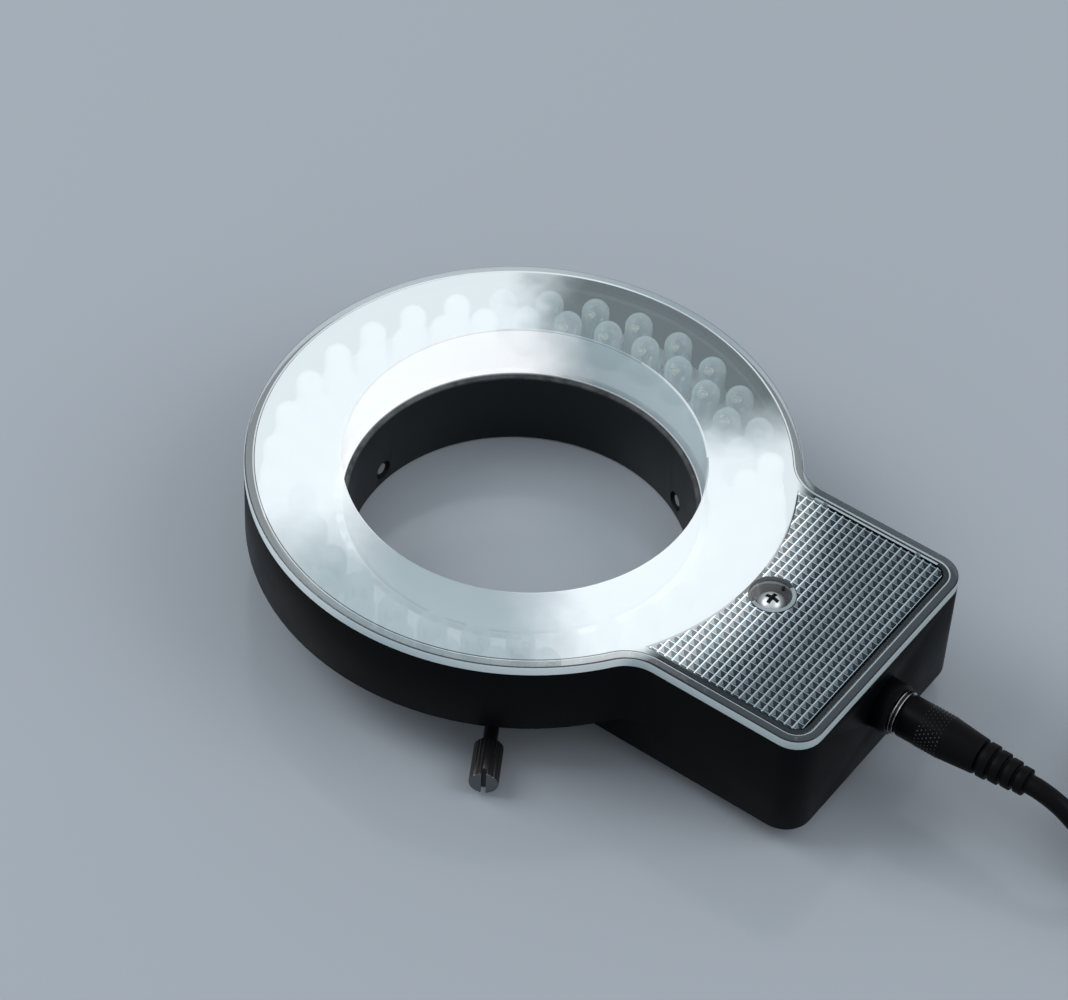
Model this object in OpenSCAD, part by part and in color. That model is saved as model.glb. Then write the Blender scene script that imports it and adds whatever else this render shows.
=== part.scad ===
// Ring light for a stereo microscope.
// A keyhole housing holds two staggered rows of lamps round a collar, under a clear cover.
// Z = 0 is the free end of the collar, on the bore's axis. The tail points along +X.

/* [Collar] */
// Bore that goes over the objective
bore_d = 60; // [54:0.5:66]
// Wall of the collar below the housing
collar_wall = 3; // [2.6:0.1:5]
// Length of the collar that stands out below the ring
collar_drop = 11; // [9:0.5:16]
// Width of the flange round the collar, inside the housing
flange_w = 3.8; // [3.8:0.1:6]
// Thickness of that flange
flange_t = 1.5; // [1:0.1:2.5]
// Wall of the spigot that centres the lamp board
spigot_t = 0.8; // [0.5:0.1:1.2]
// Edge break on the collar
collar_break = 0.4; // [0.2:0.1:0.6]

/* [Housing] */
// Wall of the housing
wall = 1.8; // [1.4:0.1:3]
// Thickness of the housing's floors
floor_t = 1.5; // [1:0.1:3]
// Width of the tail
tail_w = 50; // [46:0.5:60]
// How far the tail reaches past the ring
tail_reach = 26; // [24:0.5:50]
// How much deeper the tail is than the ring
tail_drop = 6.9; // [5.5:0.1:8.5]
// Radius of the tail's upright corners
corner_r = 5; // [3.5:0.1:9]
// Radius of the hollow where the tail meets the ring
blend_r = 7; // [4:0.1:12]
// Air between the collar and the deep part of the tail
deep_gap = 5.5; // [4.5:0.1:6.5]

/* [Lamps] */
// Diameter of a lamp's body
lamp_d = 5; // [4:0.1:5.2]
// Diameter of a lamp's foot rim
lamp_rim_d = 5.6; // [5.3:0.1:5.8]
// Height of a lamp's foot rim
lamp_rim_h = 1; // [0.6:0.1:1.4]
// Height of a lamp above its board
lamp_h = 8.6; // [7:0.1:10]
// From the flange to the inner row's circle
row_inset = 1.2; // [1:0.1:3]
// From the inner row's circle to the outer row's
row_gap = 4.5; // [4.5:0.1:7]
// Least pitch of the lamps along the inner row
lamp_pitch = 7.4; // [7.2:0.1:10]
// Turn of the rows from the tail's centre line, in degrees
row_turn = 1.9; // [0:0.1:5]
// Air between a lamp's rim and the wall
lamp_air = 0.4; // [0.3:0.1:2]
// Air between a lamp's top and the cover
lamp_top_air = 0.2; // [0.2:0.1:2]
// Lead wire of a lamp
lamp_wire_d = 0.5; // [0.4:0.05:0.6]
// Spacing of a lamp's two lead wires
lamp_wire_gap = 2.54; // [2:0.02:3]
// Thickness of the lamp board
board_t = 1.6; // [1:0.1:2.4]

/* [Cover] */
// Thickness of the clear cover at its edge
cover_t = 1.75; // [1.6:0.05:3]
// How much wider the cover's hole is than the bore, on the radius
cover_step = 1; // [1:0.1:2]
// Wall of the cover's inner skirt
skirt_t = 1.2; // [0.8:0.1:2]
// Depth of the locating rib under the cover
rib_h = 1; // [0.6:0.1:1.5]
// Thickness of that rib
rib_t = 0.8; // [0.6:0.1:0.9]
// Border of clear cover round the prism panel
border = 2.6; // [2.2:0.1:4]
// How far the panel reaches in over the ring's edge
panel_lap = 1; // [0.5:0.1:2]
// Depth of the panel's pocket
pocket_d = 1.2; // [1:0.05:1.4]
// How far the panel's ridges stay below the cover's top
panel_low = 0.1; // [0:0.05:0.3]
// Pitch of the square prisms
prism_pitch = 1.45; // [1.2:0.05:3]
// Depth of the square prisms
prism_d = 0.5; // [0.3:0.05:0.7]
// Flat ridge left between two prisms
prism_land = 0.25; // [0.1:0.05:0.4]
// Plain edge of the panel round its prisms
prism_edge = 0.8; // [0.5:0.1:2]
// From the ring's edge to the cover screw
cover_screw_out = 3.1; // [3:0.1:6]
// Inner diameter of the cup that holds the cover screw's head
cup_d = 6.6; // [6:0.1:8]
// Wall of that cup
cup_t = 0.65; // [0.5:0.05:1]
// Thickness of the cup's floor
cup_floor = 0.8; // [0.6:0.1:1.5]
// How far the cup's floor lies below the cover's seat
cup_drop = 2; // [1.5:0.1:3]

/* [Screws] */
// Thread of the thumb screws and of the cover screw
thread_d = 2.5; // [2:0.1:3]
// Thread of the small board and collar screws
small_thread_d = 2; // [1.6:0.1:2.2]
// How deep a board screw goes into its post
board_screw_l = 4.5; // [3:0.1:4.8]
// Head of the small screws
small_head_d = 3.8; // [3.4:0.1:3.8]
// Height of the small screws' heads
small_head_h = 1.3; // [1:0.1:1.5]
// Head of the cover screw
cover_head_d = 4.9; // [4.4:0.1:5.5]
// Height of the cover screw's head
cover_head_h = 1.6; // [1.2:0.1:2]
// Height of the thumb screws above the collar's free end
thumb_z = 3.5; // [3:0.1:5]
// Diameter of a thumb screw's head
thumb_d = 5; // [4.4:0.1:5.8]
// Length of a thumb screw's head
thumb_head_l = 8.6; // [6:0.1:14]
// Bare thread between the collar and a thumb screw's head
thumb_neck = 11.8; // [11.2:0.1:16]
// Ridges round a thumb screw's head
thumb_ridges = 24; // [16:1:32]
// Diameter of a soft tip
tip_d = 2.1; // [1.6:0.1:2.2]
// How far a soft tip stays inside the bore's wall
tip_back = 0.4; // [0.3:0.05:0.6]
// Thickness of a soft tip
tip_t = 1.1; // [0.8:0.1:1.2]

/* [Driver] */
// Half width of the driver board
driver_half = 13.5; // [12.5:0.1:13.8]
// Thickness of the driver board
driver_t = 1.6; // [1:0.1:2]
// Height of the driver board's posts
post_h = 2.5; // [2:0.1:3]
// Diameter of the posts
post_d = 5; // [4.6:0.1:5.2]
// Diameter of the post under the cover screw
boss_d = 6; // [5.6:0.1:6.6]

/* [Socket and plug] */
// Height of the socket above the tail's underside
socket_rise = 11.4; // [10.8:0.1:13]
// Diameter of the socket's outer barrel
socket_d = 9; // [8.6:0.1:11]
// How far that barrel stands out
socket_out = 3.1; // [2:0.1:8]
// Diameter of the socket's threaded shank
shank_d = 7.8; // [7.4:0.1:8.2]
// Length of the shank
shank_l = 11.5; // [11:0.1:14]
// Depth of the socket's bore
socket_bore_l = 10; // [9.8:0.1:11]
// Across the flats of the socket's nut
nut_af = 10.6; // [10:0.1:11]
// Thickness of the nut
nut_t = 2.5; // [1.5:0.1:3]
// Outside diameter of the plug's sleeve
sleeve_d = 5.5; // [5:0.1:5.6]
// Bore of the plug's sleeve
sleeve_bore = 2.6; // [2.4:0.1:3]
// Length of the sleeve
sleeve_l = 9.3; // [8:0.1:9.4]
// Diameter of the plug's bright ring
ring_band_d = 7.9; // [7:0.1:9]
// Thickness of the bright ring
ring_band_t = 0.8; // [0.5:0.1:1.5]
// Diameter of the plug's body
plug_d = 7.5; // [7:0.1:10]
// Straight length of the plug's body
plug_straight = 8.3; // [6:0.1:14]
// Tapered length of the plug's body
plug_taper = 6.4; // [4:0.1:10]
// Diameter where the body ends
plug_end_d = 6.3; // [5.8:0.1:7]
// Ribs on the strain relief
relief_ribs = 4; // [3:1:6]
// Length of one rib and its groove
relief_step = 2.2; // [1.8:0.1:3]
// Length of one rib
relief_rib = 1.6; // [1:0.1:1.7]
// Diameter of the last rib
relief_end_d = 4.9; // [4.6:0.1:5.6]
// Depth of the grooves
relief_groove = 0.5; // [0.3:0.05:0.55]

/* [Lead] */
// Diameter of the lead
lead_d = 3.4; // [3:0.1:3.6]
// Mean radius of the coil
coil_r = 19.6; // [18:0.1:24]
// Turns of the coil
coil_turns = 11.25; // [7.25:1:15.25]
// Pitch of the turns side by side
coil_pitch = 3.87; // [3.85:0.01:4.5]
// Pitch of the layers
coil_rise = 3.85; // [3.85:0.01:4.5]
// Thickness of the tie
tie_t = 0.6; // [0.4:0.1:1]
// Width of the tie
tie_w = 6; // [4:0.1:10]

/* [Hidden] */
$fn = 48;

// Clearances
run_gap = 0.05;     // a shaft or thread in its hole, on the radius
seat_gap = 0.15;    // a part set into a recess
slip_gap = 0.4;     // a part past another
past = 1;           // how far a cut runs past a face

// Radii from the bore outwards
bore_r = bore_d / 2;
collar_r = bore_r + collar_wall;
flange_r = collar_r + flange_w;
row_1 = flange_r + row_inset;
row_2 = row_1 + row_gap;
ring_r = row_2 + lamp_rim_d / 2 + lamp_air + wall;
deep_r = collar_r + deep_gap;
half_w = tail_w / 2;
tail_x = ring_r + tail_reach;

// Heights from the collar's free end up
ring_z = collar_drop;
floor_z = ring_z + floor_t;
board_z = floor_z + flange_t;
board_top = board_z + board_t;
seat_z = board_top + lamp_h + lamp_top_air;
top_z = seat_z + cover_t;
tail_z = ring_z - tail_drop;
tail_floor = tail_z + floor_t;
driver_z = tail_floor + post_h;
driver_top = driver_z + driver_t;
socket_z = tail_z + socket_rise;
cup_z = seat_z - cup_drop;
pocket_z = top_z - pocket_d;
panel_top = top_z - panel_low;

// Places in plan
cover_x = ring_r + cover_screw_out;
tongue_x = ring_r + 2;
board_hole = [tongue_x - 2.6, driver_half + post_d / 2 + 1];
tongue_half = board_hole[1] + post_d / 2 + 0.5;
driver_x0 = deep_r + wall + 0.7;
driver_x1 = tail_x - wall - nut_t - slip_gap;
driver_posts = [[driver_x0 + 3.5, 0], [driver_x1 - 3.3, 10.2], [driver_x1 - 3.3, -10.2]];
pin_pitch = 2;
link_pins = [for (i = [0:4]) [board_hole[0], driver_half - 1 - pin_pitch * (4 - i)]];
collar_hole_r = collar_r + small_head_d / 2 + 0.1;
collar_angles = [0, 120, 240];
thumb_angles = [180, 60, -60];
pad_angles = [100, 180, 260];
pad_d = 2.4;
skirt_r = bore_r + cover_step;

// Lamps of one row, a whole number in each quarter
row_count = 4 * floor(2 * PI * row_1 / (4 * lamp_pitch));
row_step = 360 / row_count;

// Small screws: hole in the post, and shank
small_r = small_thread_d / 2;
thread_r = thread_d / 2;

// Keyhole outline, moved in by a distance.
module keyhole(inset = 0) {
    blend_x = sqrt(pow(ring_r + blend_r, 2) - pow(half_w + blend_r, 2));
    blend_c = [blend_x, half_w + blend_r];
    touch = blend_c * (ring_r - inset) / (ring_r + blend_r);
    circle(r = ring_r - inset);
    tail_plan(inset);
    for (side = [0, 1]) mirror([0, side]) difference() {
        polygon([[0, 0], touch, blend_c, [blend_x, half_w - inset], [blend_x, 0]]);
        translate(blend_c) circle(r = blend_r + inset);
    }
}

// Rounded plan of the tail, from the bore's axis to its end.
module tail_plan(inset = 0) {
    w = half_w - inset;
    end_x = tail_x - inset;
    r = corner_r - min(inset, corner_r - 0.5);
    translate([0, -w]) square([end_x - r, 2 * w]);
    translate([0, r - w]) square([end_x, 2 * (w - r)]);
    for (side = [-1, 1]) translate([end_x - r, side * (w - r)]) circle(r = r);
}

// Plan of the deep part of the tail, outside the collar.
module deep_plan(inset = 0) {
    difference() {
        tail_plan(inset);
        circle(r = deep_r + inset);
    }
}

module slab(z0, z1) {
    translate([0, 0, z0]) linear_extrude(z1 - z0) children();
}

// A round bar along Z between two heights, and the same along the radius or along X.
module bar(z0, z1, r) {
    translate([0, 0, z0]) cylinder(r = r, h = z1 - z0);
}

module on_radius(angle) {
    rotate([0, 0, angle]) translate([0, 0, thumb_z]) rotate([0, 90, 0]) children();
}

module on_tail_axis() {
    translate([0, 0, socket_z]) rotate([0, 90, 0]) children();
}

module housing() {
    color([0.07, 0.07, 0.08]) difference() {
        union() {
            difference() {
                union() {
                    slab(ring_z, seat_z) keyhole();
                    slab(tail_z, floor_z) deep_plan();
                }
                slab(floor_z, seat_z + past) keyhole(wall);
                slab(tail_floor, seat_z) deep_plan(wall);
            }
            for (p = driver_posts) translate(p) bar(tail_z, driver_z, post_d / 2);
            for (side = [-1, 1]) translate([board_hole[0], side * board_hole[1]])
                bar(tail_z, board_z, post_d / 2);
            for (a = pad_angles) rotate(a) translate([(row_1 + row_2) / 2, 0])
                bar(ring_z, board_z, pad_d / 2);
            translate([cover_x, 0]) bar(tail_z, cup_z, boss_d / 2);
        }
        bar(ring_z - past, floor_z + past, collar_r + run_gap);
        for (a = collar_angles) rotate(a) translate([collar_hole_r, 0])
            bar(ring_z - past, floor_z + past, small_r + slip_gap / 4);
        for (p = driver_posts) translate(p) bar(tail_floor, driver_z + past, small_r + run_gap);
        for (side = [-1, 1]) translate([board_hole[0], side * board_hole[1]])
            bar(board_z - 5, board_z + past, small_r + run_gap);
        translate([cover_x, 0]) bar(cup_z - insert_l - 1, cup_z + past, insert_d / 2 + run_gap);
        on_tail_axis() bar(tail_x - wall - past, tail_x + past, shank_d / 2 + seat_gap);
    }
}

module collar() {
    b = collar_break;
    color([0.05, 0.05, 0.055]) difference() {
        rotate_extrude($fn = 128) polygon([
            [bore_r + b, 0], [collar_r - b, 0], [collar_r, b],
            [collar_r, floor_z], [flange_r, floor_z], [flange_r, board_z],
            [bore_r + spigot_t, board_z], [bore_r + spigot_t, board_top - b / 2],
            [bore_r + spigot_t - b / 2, board_top], [bore_r + b, board_top],
            [bore_r, board_top - b], [bore_r, b]
        ]);
        for (a = thumb_angles) on_radius(a) {
            bar(bore_r - past, collar_r + past, thread_r + run_gap);
            bar(bore_r - past, bore_r + 0.6, thread_r + 0.6);
        }
        for (a = collar_angles) rotate(a) translate([collar_hole_r, 0])
            bar(floor_z - 0.1, board_z + past, small_r + run_gap);
    }
}

// One through-hole lamp standing on its board, with its two lead wires.
module lamp() {
    body_h = lamp_h - lamp_d / 2;
    translate([0, 0, board_top]) {
        rotate_extrude() {
            square([lamp_d / 2, body_h]);
            square([lamp_rim_d / 2, lamp_rim_h]);
            intersection() {
                translate([0, body_h]) circle(d = lamp_d);
                translate([0, body_h - 0.5]) square(lamp_d);
            }
        }
        for (side = [-1, 1]) translate([0, side * lamp_wire_gap / 2])
            bar(-board_t - 0.7, lamp_rim_h / 2, lamp_wire_d / 2);
    }
}

// Turns to the lamps of one quarter, given as [radius, angle].
function quarter_lamps(quarter) = [
    for (row = [0, 1]) for (i = [0:row_count / 4 - 1])
        [row == 0 ? row_1 : row_2,
         90 * quarter - 45 + row_turn + row_step * (i + (row == 0 ? 0 : 0.5))]
];

module led_segment(quarter) {
    color([0.92, 0.95, 0.93]) for (at = quarter_lamps(quarter))
        rotate(at[1]) translate([at[0], 0]) lamp();
}

module led_board() {
    hole_r = lamp_wire_d / 2 + 0.1;
    color([0.93, 0.94, 0.94]) difference() {
        slab(board_z, board_top) difference() {
            union() {
                circle(r = row_2 + lamp_rim_d / 2 + lamp_air / 4);
                translate([row_1, -tongue_half]) square([tongue_x - row_1, 2 * tongue_half]);
            }
            circle(r = bore_r + spigot_t + 0.1);
            translate([cover_x, 0]) circle(d = boss_d + 2 * slip_gap);
            for (side = [-1, 1]) translate([board_hole[0], side * board_hole[1]])
                circle(r = small_r + slip_gap / 4);
            for (p = link_pins) translate(p) circle(r = 0.4);
        }
        for (quarter = [0:3]) for (at = quarter_lamps(quarter))
            rotate(at[1]) translate([at[0], 0]) for (side = [-1, 1])
                translate([0, side * lamp_wire_gap / 2])
                    bar(board_z - past, board_top + past, hole_r);
    }
}

module lens_cover() {
    cup_r = cup_d / 2;
    color([0.85, 0.9, 0.9, 0.45]) difference() {
        union() {
            difference() {
                slab(seat_z, top_z) keyhole();
                slab(pocket_z, top_z + past) panel_plan(0);
            }
            slab(seat_z - rib_h, seat_z) difference() {
                keyhole(wall + seat_gap);
                keyhole(wall + seat_gap + rib_t);
            }
            bar(board_top, seat_z, skirt_r + skirt_t);
            translate([cover_x, 0]) bar(cup_z, panel_top, cup_r + cup_t);
        }
        bar(board_top - past, top_z + past, skirt_r);
        translate([cover_x, 0]) {
            bar(cup_z + cup_floor, top_z + past, cup_r);
            bar(cup_z - past, top_z, thread_r + seat_gap);
        }
    }
}

// Plan of the panel's pocket, and of the panel with a gap round it.
module panel_plan(gap) {
    difference() {
        tail_plan(border + gap);
        circle(r = ring_r - panel_lap + gap);
    }
}

// Clear panel with a net of ridges round square pits, which end inside the panel's edge.
module prism_panel() {
    p = prism_pitch;
    pit_r = (p - prism_land) / sqrt(2);
    last_x = tail_x - border - prism_edge;
    columns = floor((last_x - (ring_r - panel_lap)) / p) + 3;
    rows = 2 * floor((half_w - border - prism_edge) / p);
    ring_edge = ring_r - panel_lap + prism_edge / 2;
    cup_edge = cup_d / 2 + cup_t;
    color([0.8, 0.86, 0.87, 0.6]) difference() {
        slab(pocket_z, panel_top) difference() {
            panel_plan(seat_gap);
            translate([cover_x, 0]) circle(r = cup_edge + seat_gap);
        }
        for (i = [0:columns - 1]) for (j = [0:rows - 1])
            let (x = last_x - (i + 0.5) * p, y = (j + 0.5 - rows / 2) * p)
                if (norm([x - p / 2, max(0, abs(y) - p / 2)]) > ring_edge
                    && norm([x - cover_x, y]) > cup_edge + p)
                    translate([x, y, panel_top - prism_d]) rotate(45)
                        cylinder(r1 = 0, r2 = 1.05 * pit_r, h = 1.05 * prism_d, $fn = 4);
    }
}

// Cross recess cut into a screw's head, from its top down.
module cross_recess(top, size, depth) {
    for (turn = [0, 90]) rotate(turn)
        translate([-size / 2, -size / 7, top - depth]) cube([size, size * 2 / 7, depth + past]);
}

// Pan-head screw: the head stands on a plane at seat, the thread goes down from it.
module pan_screw(seat, length, r, head_r, head_h) {
    crown = (head_r * head_r + head_h * head_h) / (2 * head_h) * 1.25;
    difference() {
        union() {
            bar(seat - length, seat + head_h / 2, r);
            intersection() {
                bar(seat, seat + head_h, head_r);
                translate([0, 0, seat + head_h - crown]) sphere(r = crown, $fn = 64);
            }
        }
        cross_recess(seat + head_h, head_r, head_h * 0.6);
    }
}

module cover_screw() {
    color("silver") translate([cover_x, 0])
        pan_screw(cup_z + cup_floor, cup_floor + insert_l - 0.5, thread_r, cover_head_d / 2, cover_head_h);
}

insert_d = thread_d + 1.4;
insert_l = 5;

module cover_insert() {
    color("goldenrod") translate([cover_x, 0]) difference() {
        bar(cup_z - insert_l, cup_z, insert_d / 2);
        bar(cup_z - insert_l - past, cup_z + past, thread_r + run_gap);
    }
}

module small_screw(seat, length) {
    pan_screw(seat, length, small_r, small_head_d / 2, small_head_h);
}

module board_screws() {
    color("silver") for (side = [-1, 1]) translate([board_hole[0], side * board_hole[1]])
        small_screw(board_top, board_t + board_screw_l);
}

module collar_screws() {
    color("dimgray") for (a = collar_angles) rotate(a) translate([collar_hole_r, 0, 2 * ring_z])
        mirror([0, 0, 1]) small_screw(ring_z, floor_t + flange_t - 0.2);
}

module driver_board() {
    color("darkgreen") slab(driver_z, driver_top) difference() {
        translate([driver_x0, -driver_half]) square([driver_x1 - driver_x0, 2 * driver_half]);
        translate([cover_x, 0]) circle(d = boss_d + 2 * slip_gap);
        for (p = driver_posts) translate(p) circle(r = small_r + slip_gap / 4);
        for (p = link_pins) translate(p) circle(r = 0.4);
    }
}

module driver_screws() {
    color("silver") for (p = driver_posts) translate(p) small_screw(driver_top, driver_t + post_h - 0.3);
}

// Parts that stand on the driver board, between the cover screw's post and the socket
part_x = (cover_x + boss_d / 2 + tail_x - shank_l) / 2;
part_y = driver_half - 4.9;
wire_d = 1;
wire_bend = 1.5;
wire_x = tail_x - shank_l - 0.8 - wire_bend;
chip_gap = 0.8;
chip_x0 = cover_x + boss_d / 2 + chip_gap;
chip_l = wire_x - wire_d / 2 - chip_gap - chip_x0;

module driver_chip() {
    color([0.1, 0.1, 0.1]) {
        translate([chip_x0, -2.5, driver_top + 0.2]) cube([chip_l, 5, 1.3]);
        for (side = [-1, 1]) for (i = [0:3])
            translate([chip_x0 + chip_l * (0.075 + 0.25 * i), side * 2.5 - (side < 0 ? 1 : 0), driver_top])
                cube([chip_l / 10, 1, 0.6]);
    }
}

module choke() {
    at = [part_x, -part_y];
    color("dimgray") translate(at) {
        bar(driver_top, driver_top + 1, 3.4);
        bar(driver_top + 1, driver_top + 3.4, 2.6);
        bar(driver_top + 3.4, driver_top + 4.2, 3.4);
    }
}

module capacitor() {
    at = [part_x, part_y];
    color("lightsteelblue") translate(at) {
        bar(driver_top + 1, driver_top + 6.5, 3.15);
        translate([-3.3, -3.3, driver_top]) cube([6.6, 6.6, 1]);
    }
}

module segment_resistors() {
    color([0.15, 0.15, 0.15]) for (i = [0:3])
        translate([driver_x0 + 1.2, 0.9 - driver_half + 2.4 * i, driver_top]) cube([3.2, 1.6, 0.6]);
}

module link_header() {
    first = link_pins[0];
    last = link_pins[4];
    color([0.1, 0.1, 0.1]) difference() {
        union() {
            translate([first[0] - 1, first[1] - 1, driver_top])
                cube([2, last[1] - first[1] + 2, board_z - driver_top]);
            for (p = link_pins) translate(p) bar(driver_z - 0.5, board_top + 0.6, 0.3);
        }
    }
}

module dc_socket() {
    mouth = tail_x + socket_out;
    bore_end = mouth - socket_bore_l;
    color([0.06, 0.06, 0.07]) on_tail_axis() {
        difference() {
            union() {
                bar(tail_x, mouth, socket_d / 2);
                bar(tail_x - shank_l, tail_x, shank_d / 2);
            }
            bar(bore_end, mouth + past, sleeve_d / 2 + seat_gap);
        }
        bar(bore_end - 0.5, mouth - 1.5, sleeve_bore / 2 - 0.3);
    }
}

module socket_nut() {
    color("silver") on_tail_axis() difference() {
        rotate(30) bar_hex(tail_x - wall - nut_t, tail_x - wall, nut_af);
        bar(tail_x - wall - nut_t - past, tail_x, shank_d / 2 + run_gap);
    }
}

// A six-sided bar along Z, given its size across the flats.
module bar_hex(z0, z1, flats) {
    translate([0, 0, z0]) cylinder(r = flats / 2 / cos(30), h = z1 - z0, $fn = 6);
}

// Two wires from the socket's back down to the driver board.
module socket_wires() {
    r = wire_d / 2;
    knee_z = socket_z - wire_bend;
    color("firebrick") for (side = [-1, 1]) translate([wire_x + wire_bend, side * 2, 0]) {
        translate([0, 0, socket_z]) rotate([0, 90, 0])
            cylinder(r = r, h = tail_x - shank_l - wire_x - wire_bend);
        translate([0, 0, knee_z]) rotate([90, 0, 0]) rotate_extrude(angle = 90, start = 90)
            translate([wire_bend, 0]) circle(r = r);
        translate([-wire_bend, 0, 0]) bar(driver_top, knee_z, r);
    }
}

// Pieces of a plug, drawn along Z from its front face. The sleeve has a neck inside the ring.
neck_d = sleeve_d - 0.7;

module sleeve() {
    difference() {
        union() {
            bar(-sleeve_l, -2 * seat_gap, sleeve_d / 2);
            bar(-4 * seat_gap, ring_band_t, neck_d / 2);
        }
        bar(-sleeve_l - past, ring_band_t + past, sleeve_bore / 2);
    }
}

module bright_ring() {
    difference() {
        bar(0, ring_band_t, ring_band_d / 2);
        bar(-past, ring_band_t + past, neck_d / 2 + run_gap);
    }
}

module grip() {
    z0 = ring_band_t;
    z1 = z0 + plug_straight;
    z2 = z1 + plug_taper;
    edge = 0.4;
    rotate_extrude() polygon([
        [0, z0], [plug_d / 2 - edge, z0], [plug_d / 2, z0 + edge],
        [plug_d / 2, z1], [plug_end_d / 2, z2], [0, z2]
    ]);
}

module boot() {
    z0 = ring_band_t + plug_straight + plug_taper;
    slope = (plug_end_d - relief_end_d) / 2 / (relief_ribs - 1);
    rotate_extrude() for (i = [0:relief_ribs - 1]) {
        r = plug_end_d / 2 - slope * i - 0.05;
        translate([0, z0 + i * relief_step]) {
            square([r - relief_groove, relief_step]);
            translate([0, relief_step - relief_rib]) square([r, relief_rib]);
        }
    }
}

plug_l = ring_band_t + plug_straight + plug_taper + relief_ribs * relief_step;
plug_x = tail_x + socket_out + 2 * seat_gap;

module near_plug() {
    on_tail_axis() translate([0, 0, plug_x]) children();
}

module plug_barrel() { color("silver") near_plug() sleeve(); }
module plug_ring() { color("silver") near_plug() bright_ring(); }
module plug_body() { color([0.05, 0.05, 0.05]) near_plug() grip(); }
module strain_relief() { color([0.05, 0.05, 0.05]) near_plug() boot(); }

// Route of the lead from the boot: how far along X, and the share of its height that is left.
route = [
    [0, 1], [1.5, 1], [3, 0.985], [5, 0.95], [7, 0.89], [9, 0.8], [11, 0.69], [13, 0.56],
    [15, 0.43], [17, 0.3], [19, 0.185], [21, 0.09], [23, 0.025], [25, 0], [27, 0]
];
exit_x = plug_x + plug_l;
lead_r = lead_d / 2;
lead_low = tie_t + 0.3 + lead_r;
lead_points = [for (p = route) [exit_x + p[0], 0, lead_low + (socket_z - lead_low) * p[1]]];

// The coil: its radius falls and grows by one pitch a turn, and it climbs at each reversal.
loop_rings = 24;
pass_turns = coil_turns / 4;
coil_out = coil_r + pass_turns * coil_pitch / 2;
coil_lead = 4;
coil_c = [exit_x + route[len(route) - 1][0] + coil_lead, coil_out];
function pass_at(turn) = min(3, floor(turn / pass_turns));
function in_pass(turn) = turn - pass_at(turn) * pass_turns;
function coil_radius(turn) = coil_out - coil_pitch
    * (pass_at(turn) % 2 == 0 ? in_pass(turn) : pass_turns - in_pass(turn));
function climb(turn, k) = min(1, max(0, (turn - k * pass_turns) * 2 + 0.5));
function coil_layer(turn) = climb(turn, 1) + climb(turn, 2) + climb(turn, 3);
function coil_point(turn) = let (a = 360 * turn - 90, r = coil_radius(turn))
    [coil_c[0] + r * cos(a), coil_c[1] + r * sin(a), lead_low + coil_rise * coil_layer(turn)];
coil_rings = coil_turns * loop_rings;
coil_loops = [for (i = [0:coil_rings]) coil_point(i / loop_rings)];

// After the last turn the lead comes down round the coil's side to the far plug.
end_side = 5;
plug_low = ring_band_d / 2 + 0.05;
coil_top = lead_low + 3 * coil_rise;
end_arc = [for (i = [1:6]) let (a = 360 * coil_turns - 90 + 15 * i, s = i / 6)
    [coil_c[0] + (coil_out + end_side * (1 - pow(1 - s, 2))) * cos(a),
     coil_c[1] + (coil_out + end_side * (1 - pow(1 - s, 2))) * sin(a),
     coil_top + (plug_low - coil_top) * (s * s * (3 - 2 * s))]];
far_y = coil_c[1] + coil_out + end_side;
far_x = coil_c[0] - coil_lead;
coil_path = concat(
    [[coil_c[0] - coil_lead, 0, lead_low]], coil_loops, end_arc, [[far_x, far_y, plug_low]]
);

// Least gap between loops of the coil, measured on its points.
coil_gap = min([for (i = [0:len(coil_path) - 1]) for (j = [i + loop_rings / 2:1:len(coil_path) - 1])
    norm(coil_path[i] - coil_path[j])]) - lead_d;
echo(coil_gap = coil_gap);

// A tube swept along points, with its end faces square to the first and last stretch.
module tube(points, r, sides) {
    last = len(points) - 1;
    function ahead(i) = points[min(i + 1, last)] - points[max(i - 1, 0)];
    function ring_at(i) = let (
        t = ahead(i) / norm(ahead(i)),
        side = cross(t, [0, 0, 1]) / norm(cross(t, [0, 0, 1])),
        up = cross(side, t)
    ) [for (k = [0:sides - 1]) let (a = 360 * k / sides) points[i] + r * (cos(a) * side + sin(a) * up)];
    rings = [for (i = [0:last]) each ring_at(i)];
    function v(i, k) = i * sides + k % sides;
    skin = [for (i = [0:last - 1]) for (k = [0:sides - 1])
        each [[v(i, k), v(i, k + 1), v(i + 1, k)], [v(i, k + 1), v(i + 1, k + 1), v(i + 1, k)]]];
    caps = [[for (k = [sides - 1:-1:0]) k], [for (k = [0:sides - 1]) last * sides + k]];
    polyhedron(rings, concat(skin, caps));
}

module lead_cord() { color([0.04, 0.04, 0.04]) tube(lead_points, lead_r, 8); }
module lead_coil() { color([0.04, 0.04, 0.04]) tube(coil_path, lead_r, 6); }

module coil_tie() {
    slack = 0.4;
    inner_x = coil_c[0] - (coil_out - pass_turns * coil_pitch) + lead_r + 2 * slack;
    outer_x = coil_c[0] - coil_out - lead_r - slack;
    z1 = coil_top + lead_r + slack;
    color([0.1, 0.1, 0.1]) translate([0, coil_c[1] - tie_w / 2]) difference() {
        translate([outer_x - tie_t, 0, 0]) cube([inner_x - outer_x + 2 * tie_t, tie_w, z1 + tie_t]);
        translate([outer_x, -past, tie_t]) cube([inner_x - outer_x, tie_w + 2 * past, z1 - tie_t]);
    }
}

// The far plug lies beside the coil and points along -X, its boot towards the coil.
module far_plug() {
    translate([far_x - plug_l, far_y, plug_low]) rotate([0, 90, 0]) children();
}

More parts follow.
